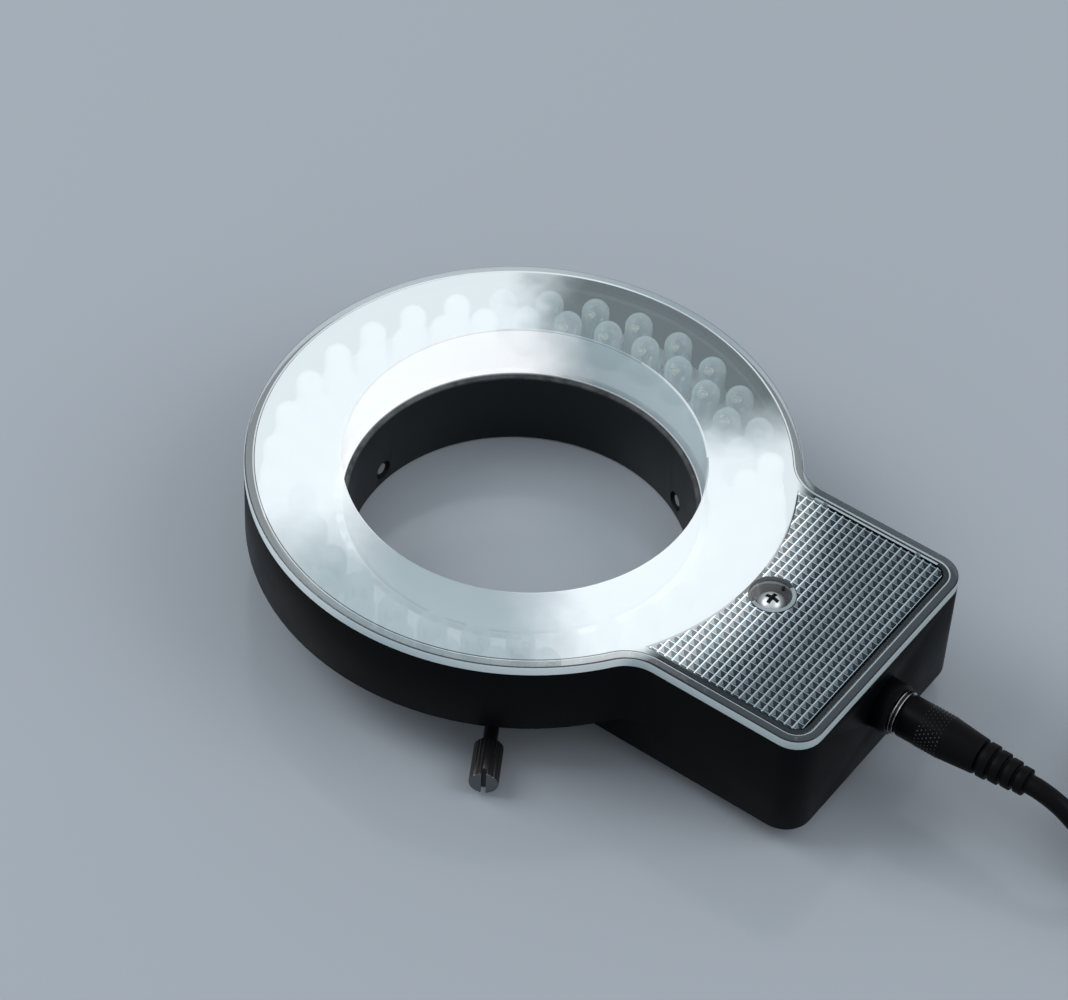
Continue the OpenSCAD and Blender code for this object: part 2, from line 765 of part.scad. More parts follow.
module far_plug_barrel() { color("silver") far_plug() sleeve(); }
module far_plug_ring() { color("silver") far_plug() bright_ring(); }
module far_plug_body() { color([0.05, 0.05, 0.05]) far_plug() grip(); }
module far_strain_relief() { color([0.05, 0.05, 0.05]) far_plug() boot(); }

// Thumb screws, drawn along the radius: soft tip, bare thread, ridged head with a slot.
tip_end = bore_r + tip_back;
thread_end = tip_end + tip_t + 0.1;
head_base = collar_r + thumb_neck;
stem_r = 0.6;
stem_l = 1.9;

module ridged_plan(r, ridges, depth) {
    polygon([for (i = [0:2 * ridges - 1]) let (a = 180 * i / ridges)
        (r - (i % 2) * depth) * [cos(a), sin(a)]]);
}

module thumb_screw(i) {
    bevel = 0.8;
    slot_w = 0.8;
    slot_d = 1.2;
    end = head_base + thumb_head_l;
    r = thumb_d / 2;
    color([0.09, 0.09, 0.09]) on_radius(thumb_angles[i]) difference() {
        union() {
            bar(thread_end, head_base + past, thread_r);
            translate([0, 0, head_base]) cylinder(r1 = r - bevel, r2 = r - 0.15, h = bevel);
            slab(head_base + bevel, end) ridged_plan(r, thumb_ridges, 0.15);
        }
        bar(thread_end - past, thread_end + stem_l + 0.2, stem_r + run_gap);
        translate([-thumb_d, -slot_w / 2, end - slot_d]) cube([2 * thumb_d, slot_w, slot_d + past]);
    }
}

module screw_tip(i) {
    color([0.75, 0.75, 0.72]) on_radius(thumb_angles[i]) {
        bar(tip_end, tip_end + tip_t, tip_d / 2);
        bar(tip_end + tip_t / 2, tip_end + tip_t + stem_l, stem_r);
    }
}

housing();
collar();
led_board();
led_segment(0);  // led_segment_1
led_segment(1);  // led_segment_2
led_segment(2);  // led_segment_3
led_segment(3);  // led_segment_4
lens_cover();
prism_panel();
cover_screw();
cover_insert();
board_screws();
collar_screws();
driver_board();
driver_chip();
choke();
capacitor();
segment_resistors();
link_header();
driver_screws();
dc_socket();
socket_nut();
socket_wires();
thumb_screw(0);  // thumb_screw_1
thumb_screw(1);  // thumb_screw_2
thumb_screw(2);  // thumb_screw_3
screw_tip(0);  // screw_tip_1
screw_tip(1);  // screw_tip_2
screw_tip(2);  // screw_tip_3
plug_barrel();
plug_ring();
plug_body();
strain_relief();
lead_cord();
lead_coil();
coil_tie();
far_plug_barrel();
far_plug_ring();
far_plug_body();
far_strain_relief();
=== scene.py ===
"""Dresses the microscope ring light's solids: lit lamps under a clear cover, prism panel, lead."""
import math

import bpy
from mathutils import Matrix, Vector


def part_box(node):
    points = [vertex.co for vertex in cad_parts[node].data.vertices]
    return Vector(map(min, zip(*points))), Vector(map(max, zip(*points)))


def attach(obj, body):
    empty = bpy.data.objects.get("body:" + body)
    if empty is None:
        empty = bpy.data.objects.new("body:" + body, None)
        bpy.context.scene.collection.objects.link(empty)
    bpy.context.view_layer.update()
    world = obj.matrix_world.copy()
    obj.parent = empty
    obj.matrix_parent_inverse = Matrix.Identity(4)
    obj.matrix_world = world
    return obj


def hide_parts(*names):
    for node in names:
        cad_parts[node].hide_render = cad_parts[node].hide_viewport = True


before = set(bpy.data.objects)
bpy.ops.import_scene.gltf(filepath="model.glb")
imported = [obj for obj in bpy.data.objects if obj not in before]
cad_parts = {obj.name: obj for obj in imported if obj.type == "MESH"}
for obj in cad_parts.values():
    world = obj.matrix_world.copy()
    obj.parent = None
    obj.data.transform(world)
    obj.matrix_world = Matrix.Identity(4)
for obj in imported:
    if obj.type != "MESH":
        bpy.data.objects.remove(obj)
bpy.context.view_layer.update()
MM = 0.001


# Camera of the photograph: a long lens that looks down on the light from in front of its tail,
# tilted a little to one side.
IMAGE_WIDTH = 1068
FOCAL_PIXELS = 3724
CAMERA_PLACE = Vector((246.4, -365.4, 478.2)) * MM
yaw, lift, roll = (math.radians(v) for v in (33.73, 46.39, 3.44))
backward = Vector((math.sin(yaw) * math.cos(lift), -math.cos(yaw) * math.cos(lift), math.sin(lift)))
level_right = Vector((math.cos(yaw), math.sin(yaw), 0))
level_down = (-backward).cross(level_right)
right = level_right * math.cos(roll) - level_down * math.sin(roll)
down = level_right * math.sin(roll) + level_down * math.cos(roll)
camera_data = bpy.data.cameras.new("camera")
camera_data.sensor_width = 36
camera_data.lens = FOCAL_PIXELS / IMAGE_WIDTH * camera_data.sensor_width
camera_data.clip_start = 0.01
camera = bpy.data.objects.new("camera", camera_data)
turn = Matrix((right, -down, backward)).transposed().to_4x4()
camera.matrix_world = Matrix.Translation(CAMERA_PLACE) @ turn
bpy.context.collection.objects.link(camera)
bpy.context.scene.camera = camera


# Lead: a round black rubber sheath, moulded into the plug's boot. It drops to the bench,
# winds into a stored coil of four layers, and comes down beside it to the far plug.
HEAD = "head"
lead_d = 3.4 * MM
lead_exit = Vector((101.2, 0, 15.5)) * MM
lead_low = 2.6 * MM
ROUTE = [
    (0, 1), (1.5, 1), (3, 0.985), (5, 0.95), (7, 0.89), (9, 0.8), (11, 0.69), (13, 0.56),
    (15, 0.43), (17, 0.3), (19, 0.185), (21, 0.09), (23, 0.025), (25, 0), (27, 0),
]
lead_points = [
    Vector((lead_exit.x + along * MM, 0, lead_low + (lead_exit.z - lead_low) * height))
    for along, height in ROUTE
]
COIL_TURNS, COIL_LAYERS = 11.25, 4
PASS_TURNS = COIL_TURNS / COIL_LAYERS
RINGS = 24
START_ANGLE = -90
coil_pitch, coil_rise, coil_mean = 3.87 * MM, 3.85 * MM, 19.6 * MM
coil_out = coil_mean + PASS_TURNS * coil_pitch / 2
coil_straight = 4 * MM
coil_x = lead_points[-1].x + coil_straight
coil_y = coil_out


def coil_point(wound):
    """Place on the coil's centre line after that many turns."""
    layer = min(COIL_LAYERS - 1, int(wound / PASS_TURNS))
    part = wound - layer * PASS_TURNS
    inward = part if layer % 2 == 0 else PASS_TURNS - part
    radius = coil_out - coil_pitch * inward
    climbed = sum(min(1, max(0, (wound - k * PASS_TURNS) * 2 + 0.5)) for k in range(1, COIL_LAYERS))
    angle = math.radians(360 * wound + START_ANGLE)
    return Vector((
        coil_x + radius * math.cos(angle),
        coil_y + radius * math.sin(angle),
        lead_low + coil_rise * climbed,
    ))


lead_points += [coil_point(i / RINGS) for i in range(int(COIL_TURNS * RINGS) + 1)]
END_STEPS, END_TURN = 6, 90
end_side = 5 * MM
far_axis_z = 4 * MM
coil_top = lead_low + (COIL_LAYERS - 1) * coil_rise
for i in range(1, END_STEPS + 1):
    share = i / END_STEPS
    angle = math.radians(360 * COIL_TURNS + START_ANGLE + END_TURN * share)
    radius = coil_out + end_side * (1 - (1 - share) ** 2)
    height = coil_top + (far_axis_z - coil_top) * share * share * (3 - 2 * share)
    lead_points.append(
        Vector((coil_x + radius * math.cos(angle), coil_y + radius * math.sin(angle), height))
    )
far_y = coil_y + coil_out + end_side
far_x = coil_x - coil_straight
lead_points.append(Vector((far_x, far_y, far_axis_z)))

lead_curve = bpy.data.curves.new("lead", "CURVE")
lead_curve.dimensions = "3D"
lead_curve.bevel_depth = 1
lead_curve.bevel_resolution = 4
lead_curve.resolution_u = 3
lead_curve.use_fill_caps = True
spline = lead_curve.splines.new("BEZIER")
spline.bezier_points.add(len(lead_points) - 1)
for knot, place in zip(spline.bezier_points, lead_points):
    knot.co = place
    knot.radius = lead_d / 2
    knot.handle_left_type = knot.handle_right_type = "AUTO"
lead = bpy.data.objects.new("lead", lead_curve)
bpy.context.collection.objects.link(lead)
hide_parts("lead_cord", "lead_coil")
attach(lead, HEAD)


def new_material(name, rough=0.5, metal=0.0, color=(0.5, 0.5, 0.5)):
    """A material with one Principled shader; gives its tree and that shader."""
    made = bpy.data.materials.new(name)
    made.use_nodes = True
    shader = made.node_tree.nodes["Principled BSDF"]
    shader.inputs["Base Color"].default_value = (*color, 1)
    shader.inputs["Roughness"].default_value = rough
    shader.inputs["Metallic"].default_value = metal
    return made, made.node_tree, shader


def node(tree, kind, **inputs):
    """A node with its unlinked inputs set by name."""
    made = tree.nodes.new(kind)
    for key, value in inputs.items():
        made.inputs[key.replace("_", " ")].default_value = value
    return made


def maths(tree, operation):
    """A node for one kind of sum."""
    made = tree.nodes.new("ShaderNodeMath")
    made.operation = operation
    return made


def two_colors(tree, first=(0, 0, 0), second=(0, 0, 0)):
    """A node that goes from one colour to another by its factor."""
    made = tree.nodes.new("ShaderNodeMix")
    made.data_type = "RGBA"
    made.inputs["A"].default_value = (*first, 1)
    made.inputs["B"].default_value = (*second, 1)
    return made


def new_group(name, takes, gives):
    """A node group with its named inputs and outputs, each a Float or a Color."""
    group = bpy.data.node_groups.new(name, "ShaderNodeTree")
    for in_out, sockets in (("INPUT", takes), ("OUTPUT", gives)):
        for title, kind in sockets:
            group.interface.new_socket(title, in_out=in_out, socket_type="NodeSocket" + kind)
    return group, group.nodes.new("NodeGroupInput"), group.nodes.new("NodeGroupOutput")


def make_grain_group():
    """Moulded grain: fine relief, uneven gloss and a slight change of tone over a surface."""
    group, enter, leave = new_group(
        "moulded_grain",
        (
            ("Scale", "Float"), ("Dark", "Color"), ("Pale", "Color"),
            ("Least Gloss", "Float"), ("Most Gloss", "Float"),
        ),
        (("Color", "Color"), ("Roughness", "Float"), ("Height", "Float")),
    )
    place = group.nodes.new("ShaderNodeTexCoord")
    fine = node(group, "ShaderNodeTexNoise", Detail=3.0)
    broad = node(group, "ShaderNodeTexNoise", Scale=70.0, Detail=3.0)
    tone = two_colors(group)
    gloss = node(group, "ShaderNodeMapRange", From_Min=0.3, From_Max=0.7)
    link = group.links.new
    link(place.outputs["Object"], fine.inputs["Vector"])
    link(place.outputs["Object"], broad.inputs["Vector"])
    link(enter.outputs["Scale"], fine.inputs["Scale"])
    link(broad.outputs["Fac"], tone.inputs["Factor"])
    link(enter.outputs["Dark"], tone.inputs["A"])
    link(enter.outputs["Pale"], tone.inputs["B"])
    link(broad.outputs["Fac"], gloss.inputs["Value"])
    link(enter.outputs["Least Gloss"], gloss.inputs["To Max"])
    link(enter.outputs["Most Gloss"], gloss.inputs["To Min"])
    link(tone.outputs["Result"], leave.inputs["Color"])
    link(gloss.outputs["Result"], leave.inputs["Roughness"])
    link(fine.outputs["Fac"], leave.inputs["Height"])
    return group


grain_group = make_grain_group()


def add_grain(tree, shader, dark, pale, scale, rough, strength, depth):
    """Place the grain in a material: rough is (least, most), depth the relief in metres."""
    grain = tree.nodes.new("ShaderNodeGroup")
    grain.node_tree = grain_group
    grain.inputs["Scale"].default_value = scale
    grain.inputs["Dark"].default_value = (*dark, 1)
    grain.inputs["Pale"].default_value = (*pale, 1)
    grain.inputs["Least Gloss"].default_value = rough[1]
    grain.inputs["Most Gloss"].default_value = rough[0]
    bump = node(tree, "ShaderNodeBump", Strength=strength, Distance=depth)
    tree.links.new(grain.outputs["Color"], shader.inputs["Base Color"])
    tree.links.new(grain.outputs["Roughness"], shader.inputs["Roughness"])
    tree.links.new(grain.outputs["Height"], bump.inputs["Height"])
    tree.links.new(bump.outputs["Normal"], shader.inputs["Normal"])
    return grain


def grained(name, dark, pale, scale, rough, depth, metal=0.0, gloss=0.5):
    """A material with one grain all over."""
    made, tree, shader = new_material(name, metal=metal)
    shader.inputs["Specular IOR Level"].default_value = gloss
    add_grain(tree, shader, dark, pale, scale, rough, 0.6, depth)
    return made


sheath_black = grained(
    "sheath_black", (0.0015, 0.0015, 0.002), (0.004, 0.004, 0.005), 900, (0.4, 0.55), 0.00003, gloss=0.08
)
lead_curve.materials.append(sheath_black)


# Housing: one black moulding, a ring tray with a deeper tail. Its edges are rounded by the mould
# and its skin has a fine spark grain.
def only(obj):
    """Make obj the one selected and active object."""
    bpy.ops.object.select_all(action="DESELECT")
    obj.select_set(True)
    bpy.context.view_layer.objects.active = obj


def edit_all():
    """Enter edit mode with the whole mesh selected."""
    bpy.ops.object.mode_set(mode="EDIT")
    bpy.ops.mesh.select_all(action="SELECT")


SHARP_ANGLE, SMOOTH_ANGLE = 32, 28


def softened(solid, name, width, body=HEAD):
    """A copy of a solid with its triangles merged into faces and its edges rounded."""
    piece = bpy.data.objects.new(name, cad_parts[solid].data.copy())
    piece.data.materials.clear()
    bpy.context.collection.objects.link(piece)
    only(piece)
    bpy.ops.mesh.customdata_custom_splitnormals_clear()
    edit_all()
    bpy.ops.mesh.remove_doubles(threshold=2e-7)
    bpy.ops.mesh.dissolve_limited(angle_limit=math.radians(0.5))
    bpy.ops.object.mode_set(mode="OBJECT")
    if width:
        edges = piece.modifiers.new("edges", "BEVEL")
        edges.width = width
        edges.segments = 2
        edges.limit_method = "ANGLE"
        edges.angle_limit = math.radians(SHARP_ANGLE)
        bpy.ops.object.modifier_apply(modifier="edges")
    bpy.ops.object.shade_smooth_by_angle(angle=math.radians(SMOOTH_ANGLE))
    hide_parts(solid)
    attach(piece, body)
    return piece


def finish_with(piece, material):
    """Give a piece its one material and the record's slot."""
    piece.data.materials.clear()
    piece.data.materials.append(material)


housing_black = grained(
    "housing_black", (0.0012, 0.0014, 0.0018), (0.003, 0.0034, 0.0042), 1400, (0.36, 0.5), 0.00003, gloss=0.06
)
housing = softened("housing", "housing_shell", 0.35 * MM)
finish_with(housing, housing_black)


# Socket: a black threaded barrel jack through the tail's end wall, held by a nut inside,
# with two wires down to the driver board.
def paint(solid, material):
    """Give a solid that stays as it is a material of its own."""
    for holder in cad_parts[solid].material_slots:
        holder.material = material


socket_black = grained(
    "socket_black", (0.0012, 0.0012, 0.0016), (0.003, 0.003, 0.004), 1500, (0.3, 0.42), 0.00001, gloss=0.08
)
socket = softened("dc_socket", "socket_barrel", 0.2 * MM)
finish_with(socket, socket_black)
bright_nickel = grained(
    "bright_nickel", (0.5, 0.51, 0.52), (0.66, 0.67, 0.68), 2200, (0.2, 0.32), 0.00001, 1.0
)
wire_red = grained("wire_red", (0.3, 0.02, 0.02), (0.4, 0.03, 0.03), 900, (0.35, 0.45), 0.00001)
paint("socket_nut", bright_nickel)
paint("socket_wires", wire_red)


# Driver: a green glass-epoxy board on three posts in the deep tail, held by three screws. It carries
# the current regulator, its choke and capacitor, the quarters' resistors and the header to the lamps.
board_green = grained("board_green", (0.01, 0.09, 0.03), (0.015, 0.13, 0.05), 500, (0.25, 0.4), 0.00002)
chip_black = grained("chip_black", (0.012, 0.012, 0.012), (0.02, 0.02, 0.02), 1800, (0.5, 0.65), 0.00002)
ferrite_grey = grained("ferrite_grey", (0.03, 0.03, 0.032), (0.05, 0.05, 0.053), 1500, (0.55, 0.7), 0.00003)
can_bright = grained("can_bright", (0.5, 0.52, 0.55), (0.6, 0.62, 0.65), 1200, (0.25, 0.35), 0.00001, 1.0)
for solid, material in (
    ("driver_board", board_green), ("driver_chip", chip_black), ("segment_resistors", chip_black),
    ("link_header", chip_black), ("choke", ferrite_grey), ("capacitor", can_bright),
    ("driver_screws", bright_nickel),
):
    paint(solid, material)


# Collar: a black anodised aluminium tube with a flange, screwed up through the tray's floor.
# Its top lip is worn to bare metal.
collar_lip_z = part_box("collar")[1].z
WORN_FROM, WORN_FULL = 0.9 * MM, 0.3 * MM
collar_black, tree, shader = new_material("collar_black")
shader.inputs["Specular IOR Level"].default_value = 0.22
grain = add_grain(
    tree, shader, (0.0035, 0.0055, 0.007), (0.007, 0.01, 0.012), 1600, (0.4, 0.5), 0.5, 0.00002
)
place = tree.nodes.new("ShaderNodeTexCoord")
split = tree.nodes.new("ShaderNodeSeparateXYZ")
near_lip = node(
    tree, "ShaderNodeMapRange", From_Min=collar_lip_z - WORN_FROM, From_Max=collar_lip_z - WORN_FULL
)
rub = node(tree, "ShaderNodeTexNoise", Scale=420.0, Detail=4.0)
rubbed = node(tree, "ShaderNodeMapRange", From_Min=0.2, From_Max=0.7)
worn = maths(tree, "MULTIPLY")
skin = two_colors(tree, second=(0.1, 0.11, 0.115))
link = tree.links.new
link(place.outputs["Object"], split.inputs["Vector"])
link(place.outputs["Object"], rub.inputs["Vector"])
link(split.outputs["Z"], near_lip.inputs["Value"])
link(rub.outputs["Fac"], rubbed.inputs["Value"])
link(near_lip.outputs["Result"], worn.inputs[0])
link(rubbed.outputs["Result"], worn.inputs[1])
link(worn.outputs["Value"], skin.inputs["Factor"])
link(grain.outputs["Color"], skin.inputs["A"])
link(skin.outputs["Result"], shader.inputs["Base Color"])
collar = softened("collar", "collar_tube", 0.12 * MM)
finish_with(collar, collar_black)
# Black oxide on the collar's screws; on the thumb screws this dark steel is painted shade.
black_oxide_and_shade = grained(
    "black_oxide_and_shade", (0.006, 0.006, 0.007), (0.014, 0.014, 0.016), 1800, (0.28, 0.42), 0.00001, gloss=0.4
)
paint("collar_screws", black_oxide_and_shade)


# Lamp board: a white-lacquered ring board with a tongue into the tail, held by two screws.
# Where the lamps are lit it has a painted glow of their light.
LAMP_WHITE = (1, 0.94, 0.95)


# Painted glow: emission that stands for the lamps' light on the board and the cover, which are no lamps.
def make_glow_group():
    """Share of lamp light over the ring: full over the two lit quarters, fading at their ends."""
    group, enter, leave = new_group(
        "lamp_glow",
        (("Full Until", "Float"), ("Gone At", "Float"), ("Far Tail", "Float")),
        (("Share", "Float"), ("Ring", "Float"), ("Color", "Color")),
    )
    across = {"From_Min": -4 * MM, "From_Max": 4 * MM}
    fading = {"To_Min": 1.0, "To_Max": 0.0}
    head_near, head_far, tail_near = -0.26, -0.13, 0.1
    lit_until, lit_gone = 46.2 * MM, 48.5 * MM
    ring_until, ring_gone = 47.6 * MM, 49.5 * MM
    place = group.nodes.new("ShaderNodeTexCoord")
    split = group.nodes.new("ShaderNodeSeparateXYZ")
    side = maths(group, "ABSOLUTE")
    along = maths(group, "ABSOLUTE")
    angle = maths(group, "ARCTAN2")
    stir = node(group, "ShaderNodeTexNoise", Scale=160.0, Detail=2.0)
    stirred = node(group, "ShaderNodeMapRange", To_Min=-0.1, To_Max=0.1)
    bent = maths(group, "ADD")
    ends = node(group, "ShaderNodeMapRange", **across)
    head_end = node(group, "ShaderNodeMapRange", To_Min=head_near, To_Max=head_far, **across)
    tail_end = node(group, "ShaderNodeMapRange", To_Min=tail_near, **across)
    drawn = maths(group, "ADD")
    sector = node(group, "ShaderNodeMapRange", **fading)
    sector.interpolation_type = "SMOOTHSTEP"
    flatten = node(group, "ShaderNodeCombineXYZ", Z=0.0)
    out = group.nodes.new("ShaderNodeVectorMath")
    out.operation = "LENGTH"
    inside = node(group, "ShaderNodeMapRange", From_Min=lit_until, From_Max=lit_gone, **fading)
    inside.interpolation_type = "SMOOTHSTEP"
    whole = node(group, "ShaderNodeMapRange", From_Min=ring_until, From_Max=ring_gone, **fading)
    share = maths(group, "MULTIPLY")
    tone = two_colors(group, second=LAMP_WHITE)
    link = group.links.new
    link(place.outputs["Object"], split.inputs["Vector"])
    link(place.outputs["Object"], stir.inputs["Vector"])
    link(split.outputs["Y"], side.inputs[0])
    link(split.outputs["X"], along.inputs[0])
    link(side.outputs["Value"], angle.inputs[0])
    link(along.outputs["Value"], angle.inputs[1])
    link(stir.outputs["Fac"], stirred.inputs["Value"])
    link(angle.outputs["Value"], bent.inputs[0])
    link(stirred.outputs["Result"], bent.inputs[1])
    link(split.outputs["X"], ends.inputs["Value"])
    link(split.outputs["Y"], head_end.inputs["Value"])
    link(split.outputs["Y"], tail_end.inputs["Value"])
    link(enter.outputs["Far Tail"], tail_end.inputs["To Max"])
    link(head_end.outputs["Result"], ends.inputs["To Min"])
    link(tail_end.outputs["Result"], ends.inputs["To Max"])
    link(bent.outputs["Value"], drawn.inputs[0])
    link(ends.outputs["Result"], drawn.inputs[1])
    link(drawn.outputs["Value"], sector.inputs["Value"])
    link(enter.outputs["Full Until"], sector.inputs["From Min"])
    link(enter.outputs["Gone At"], sector.inputs["From Max"])
    link(split.outputs["X"], flatten.inputs["X"])
    link(split.outputs["Y"], flatten.inputs["Y"])
    link(flatten.outputs["Vector"], out.inputs[0])
    link(out.outputs["Value"], inside.inputs["Value"])
    link(out.outputs["Value"], whole.inputs["Value"])
    link(sector.outputs["Result"], share.inputs[0])
    link(inside.outputs["Result"], share.inputs[1])
    link(share.outputs["Value"], leave.inputs["Share"])
    link(whole.outputs["Result"], leave.inputs["Ring"])
    link(share.outputs["Value"], tone.inputs["Factor"])
    link(tone.outputs["Result"], leave.inputs["Color"])
    return group


glow_group = make_glow_group()


def add_glow(tree, shader, strength, full, gone, far_tail=0):
    """Let a material shine where the lamps are lit, by two limits in degrees off the tail's axis.

    far_tail draws in the lit quarter's end beyond the tail by that many degrees.
    """
    glow = tree.nodes.new("ShaderNodeGroup")
    glow.node_tree = glow_group
    glow.inputs["Full Until"].default_value = math.radians(full)
    glow.inputs["Gone At"].default_value = math.radians(gone)
    glow.inputs["Far Tail"].default_value = math.radians(far_tail)
    tree.links.new(glow.outputs["Color"], shader.inputs["Emission Color"])
    shader.inputs["Emission Strength"].default_value = strength
    return glow


board_white = grained("board_white", (0.66, 0.69, 0.7), (0.78, 0.81, 0.82), 400, (0.3, 0.45), 0.00002)
# Painted glow: the white board emits the lamps' light over the lit quarters, though it is no lamp.
add_glow(board_white.node_tree, board_white.node_tree.nodes["Principled BSDF"], 0.08, 40, 58)
paint("led_board", board_white)
paint("board_screws", bright_nickel)


# Lamps: clear 5 mm epoxy lamps in four quarter groups of two staggered rows, soldered to the board.
# Two facing quarters are lit. Inside each dome stand its two frame posts, cup and chip.
def lamp_epoxy(name, lit):
    """Clear epoxy of a lamp, which shines when lit."""
    made, tree, shader = new_material(name, color=(0.12, 0.13, 0.135) if lit else (0.53, 0.66, 0.67))
    shader.inputs["Specular IOR Level"].default_value = 0.8
    haze = node(tree, "ShaderNodeTexNoise", Scale=700.0, Detail=3.0)
    uneven = node(tree, "ShaderNodeMapRange", To_Min=0.04, To_Max=0.2)
    place = tree.nodes.new("ShaderNodeTexCoord")
    tree.links.new(place.outputs["Object"], haze.inputs["Vector"])
    tree.links.new(haze.outputs["Fac"], uneven.inputs["Value"])
    tree.links.new(uneven.outputs["Result"], shader.inputs["Roughness"])
    outline = node(tree, "ShaderNodeLayerWeight", Blend=0.45)
    if lit:
        shader.inputs["Emission Color"].default_value = (0.95, 0.97, 1, 1)
        shader.inputs["Emission Strength"].default_value = 0.45
        dense = node(tree, "ShaderNodeMapRange", From_Min=0.1, From_Max=0.9, To_Min=1.0, To_Max=0.0)
        dense.interpolation_type = "SMOOTHSTEP"
    else:
        dense = node(tree, "ShaderNodeMapRange", To_Min=0.3, To_Max=0.85)
    tree.links.new(outline.outputs["Facing"], dense.inputs["Value"])
    tree.links.new(dense.outputs["Result"], shader.inputs["Alpha"])
    return made


lamp_lit = lamp_epoxy("lamp_lit", True)
lamp_clear = lamp_epoxy("lamp_clear", False)
frame_silver = grained(
    "frame_silver", (0.6, 0.64, 0.7), (0.78, 0.82, 0.86), 1500, (0.35, 0.5), 0.00001, 0.7
)
phosphor = grained("phosphor", (0.5, 0.46, 0.26), (0.62, 0.58, 0.36), 2500, (0.5, 0.6), 0.00001)
ROWS = ((38.0 * MM, 1.9), (42.5 * MM, 7.525))
ROW_LAMPS, LAMP_STEP = 8, 11.25
lamp_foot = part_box("led_board")[1].z


def block(size, low, bevel):
    """A small upright bar with eased edges, standing at low."""
    bpy.ops.object.select_all(action="DESELECT")
    bpy.ops.mesh.primitive_cube_add(size=1, location=(low[0], low[1], low[2] + size[2] / 2))
    made = bpy.context.object
    made.scale = size
    bpy.ops.object.transform_apply(location=True, scale=True)
    edit_all()
    bpy.ops.mesh.bevel(offset=bevel, segments=1)
    bpy.ops.object.mode_set(mode="OBJECT")
    return made


def joined(pieces, name):
    """Join objects into one with applied places."""
    bpy.ops.object.select_all(action="DESELECT")
    for piece in pieces:
        piece.select_set(True)
    bpy.context.view_layer.objects.active = pieces[0]
    bpy.ops.object.join()
    whole = bpy.context.object
    whole.name = whole.data.name = name
    bpy.ops.object.transform_apply(location=True, rotation=True, scale=True)
    return whole


POST_T, POST_SIDE, POST_FOOT = 0.5 * MM, 1.27 * MM, 0.4 * MM
CUP_FOOT, CUP_MOUTH, CUP_TALL, CUP_WALL = 0.55 * MM, 0.95 * MM, 0.9 * MM, 0.15 * MM
CUP_SIDE, CUP_MID, CUP_DEEP = 0.9 * MM, 4.9 * MM, 0.4 * MM
CHIP_SIZE, CHIP_LOW = (0.9 * MM, 0.9 * MM, 0.3 * MM), 5 * MM
FRAME_EASE = 0.08 * MM


def lamp_frame():
    """The two frame posts of one lamp at the origin, the wide one with its cup and chip."""
    cup_post = block((1.1 * MM, POST_T, 4.2 * MM), (0, POST_SIDE, POST_FOOT), FRAME_EASE)
    slim_post = block((0.7 * MM, POST_T, 4.6 * MM), (0, -POST_SIDE, POST_FOOT), FRAME_EASE)
    bpy.ops.mesh.primitive_cone_add(
        vertices=16, radius1=CUP_FOOT, radius2=CUP_MOUTH, depth=CUP_TALL, location=(0, CUP_SIDE, CUP_MID)
    )
    cup = bpy.context.object
    bpy.ops.object.mode_set(mode="EDIT")
    bpy.ops.mesh.select_all(action="DESELECT")
    bpy.ops.object.mode_set(mode="OBJECT")
    for flat in cup.data.polygons:
        flat.select = flat.normal.z > 0.9
    bpy.ops.object.mode_set(mode="EDIT")
    bpy.ops.mesh.select_mode(type="FACE")
    bpy.ops.mesh.inset(thickness=CUP_WALL)
    bpy.ops.mesh.extrude_region_move(TRANSFORM_OT_translate={"value": (0, 0, -CUP_DEEP)})
    bpy.ops.object.mode_set(mode="OBJECT")
    for piece in (cup_post, slim_post, cup):
        piece.data.materials.append(frame_silver)
    chip = block(CHIP_SIZE, (0, CUP_SIDE, CHIP_LOW), FRAME_EASE)
    chip.data.materials.append(phosphor)
    return joined([cup_post, slim_post, cup, chip], "one_frame")


one_frame = lamp_frame()
for quarter, epoxy in ((1, lamp_lit), (2, lamp_clear), (3, lamp_lit), (4, lamp_clear)):
    lamps = softened(f"led_segment_{quarter}", f"lamp_group_{quarter}", 0)
    finish_with(lamps, epoxy)
    frames = []
    for radius, start in ROWS:
        for i in range(ROW_LAMPS):
            at = math.radians(90 * (quarter - 1) - 45 + start + LAMP_STEP * i)
            copy = bpy.data.objects.new("frame", one_frame.data.copy())
            copy.location = (radius * math.cos(at), radius * math.sin(at), lamp_foot)
            copy.rotation_euler.z = at
            bpy.context.collection.objects.link(copy)
            frames.append(copy)
    lamp_frames = joined(frames, f"lamp_frames_{quarter}")
    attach(lamp_frames, HEAD)
bpy.data.objects.remove(one_frame)


# Cover: one clear keyhole moulding with a skirt down to the lamp board, a locating rib inside the
# wall and a cup for its screw. Over the lit quarters its faces have a painted glow of the lamps' light.
RING_R, HALF_W, TAIL_X, CORNER_R, BLEND_R = (v * MM for v in (47.5, 25, 73.5, 5, 7))
cover_seat, cover_top = 24.4 * MM, 26.15 * MM
skirt_in, skirt_out = 31 * MM, 32.2 * MM
skirt_low = lamp_foot
blend_x = math.sqrt((RING_R + BLEND_R) ** 2 - (HALF_W + BLEND_R) ** 2)
blend_y = HALF_W + BLEND_R


def arc(x, y, radius, start, end, steps):
    """Points on an arc between two angles in degrees, both ends included."""
    turns = [math.radians(start + (end - start) * i / steps) for i in range(steps + 1)]
    return [(x + radius * math.cos(t), y + radius * math.sin(t)) for t in turns]


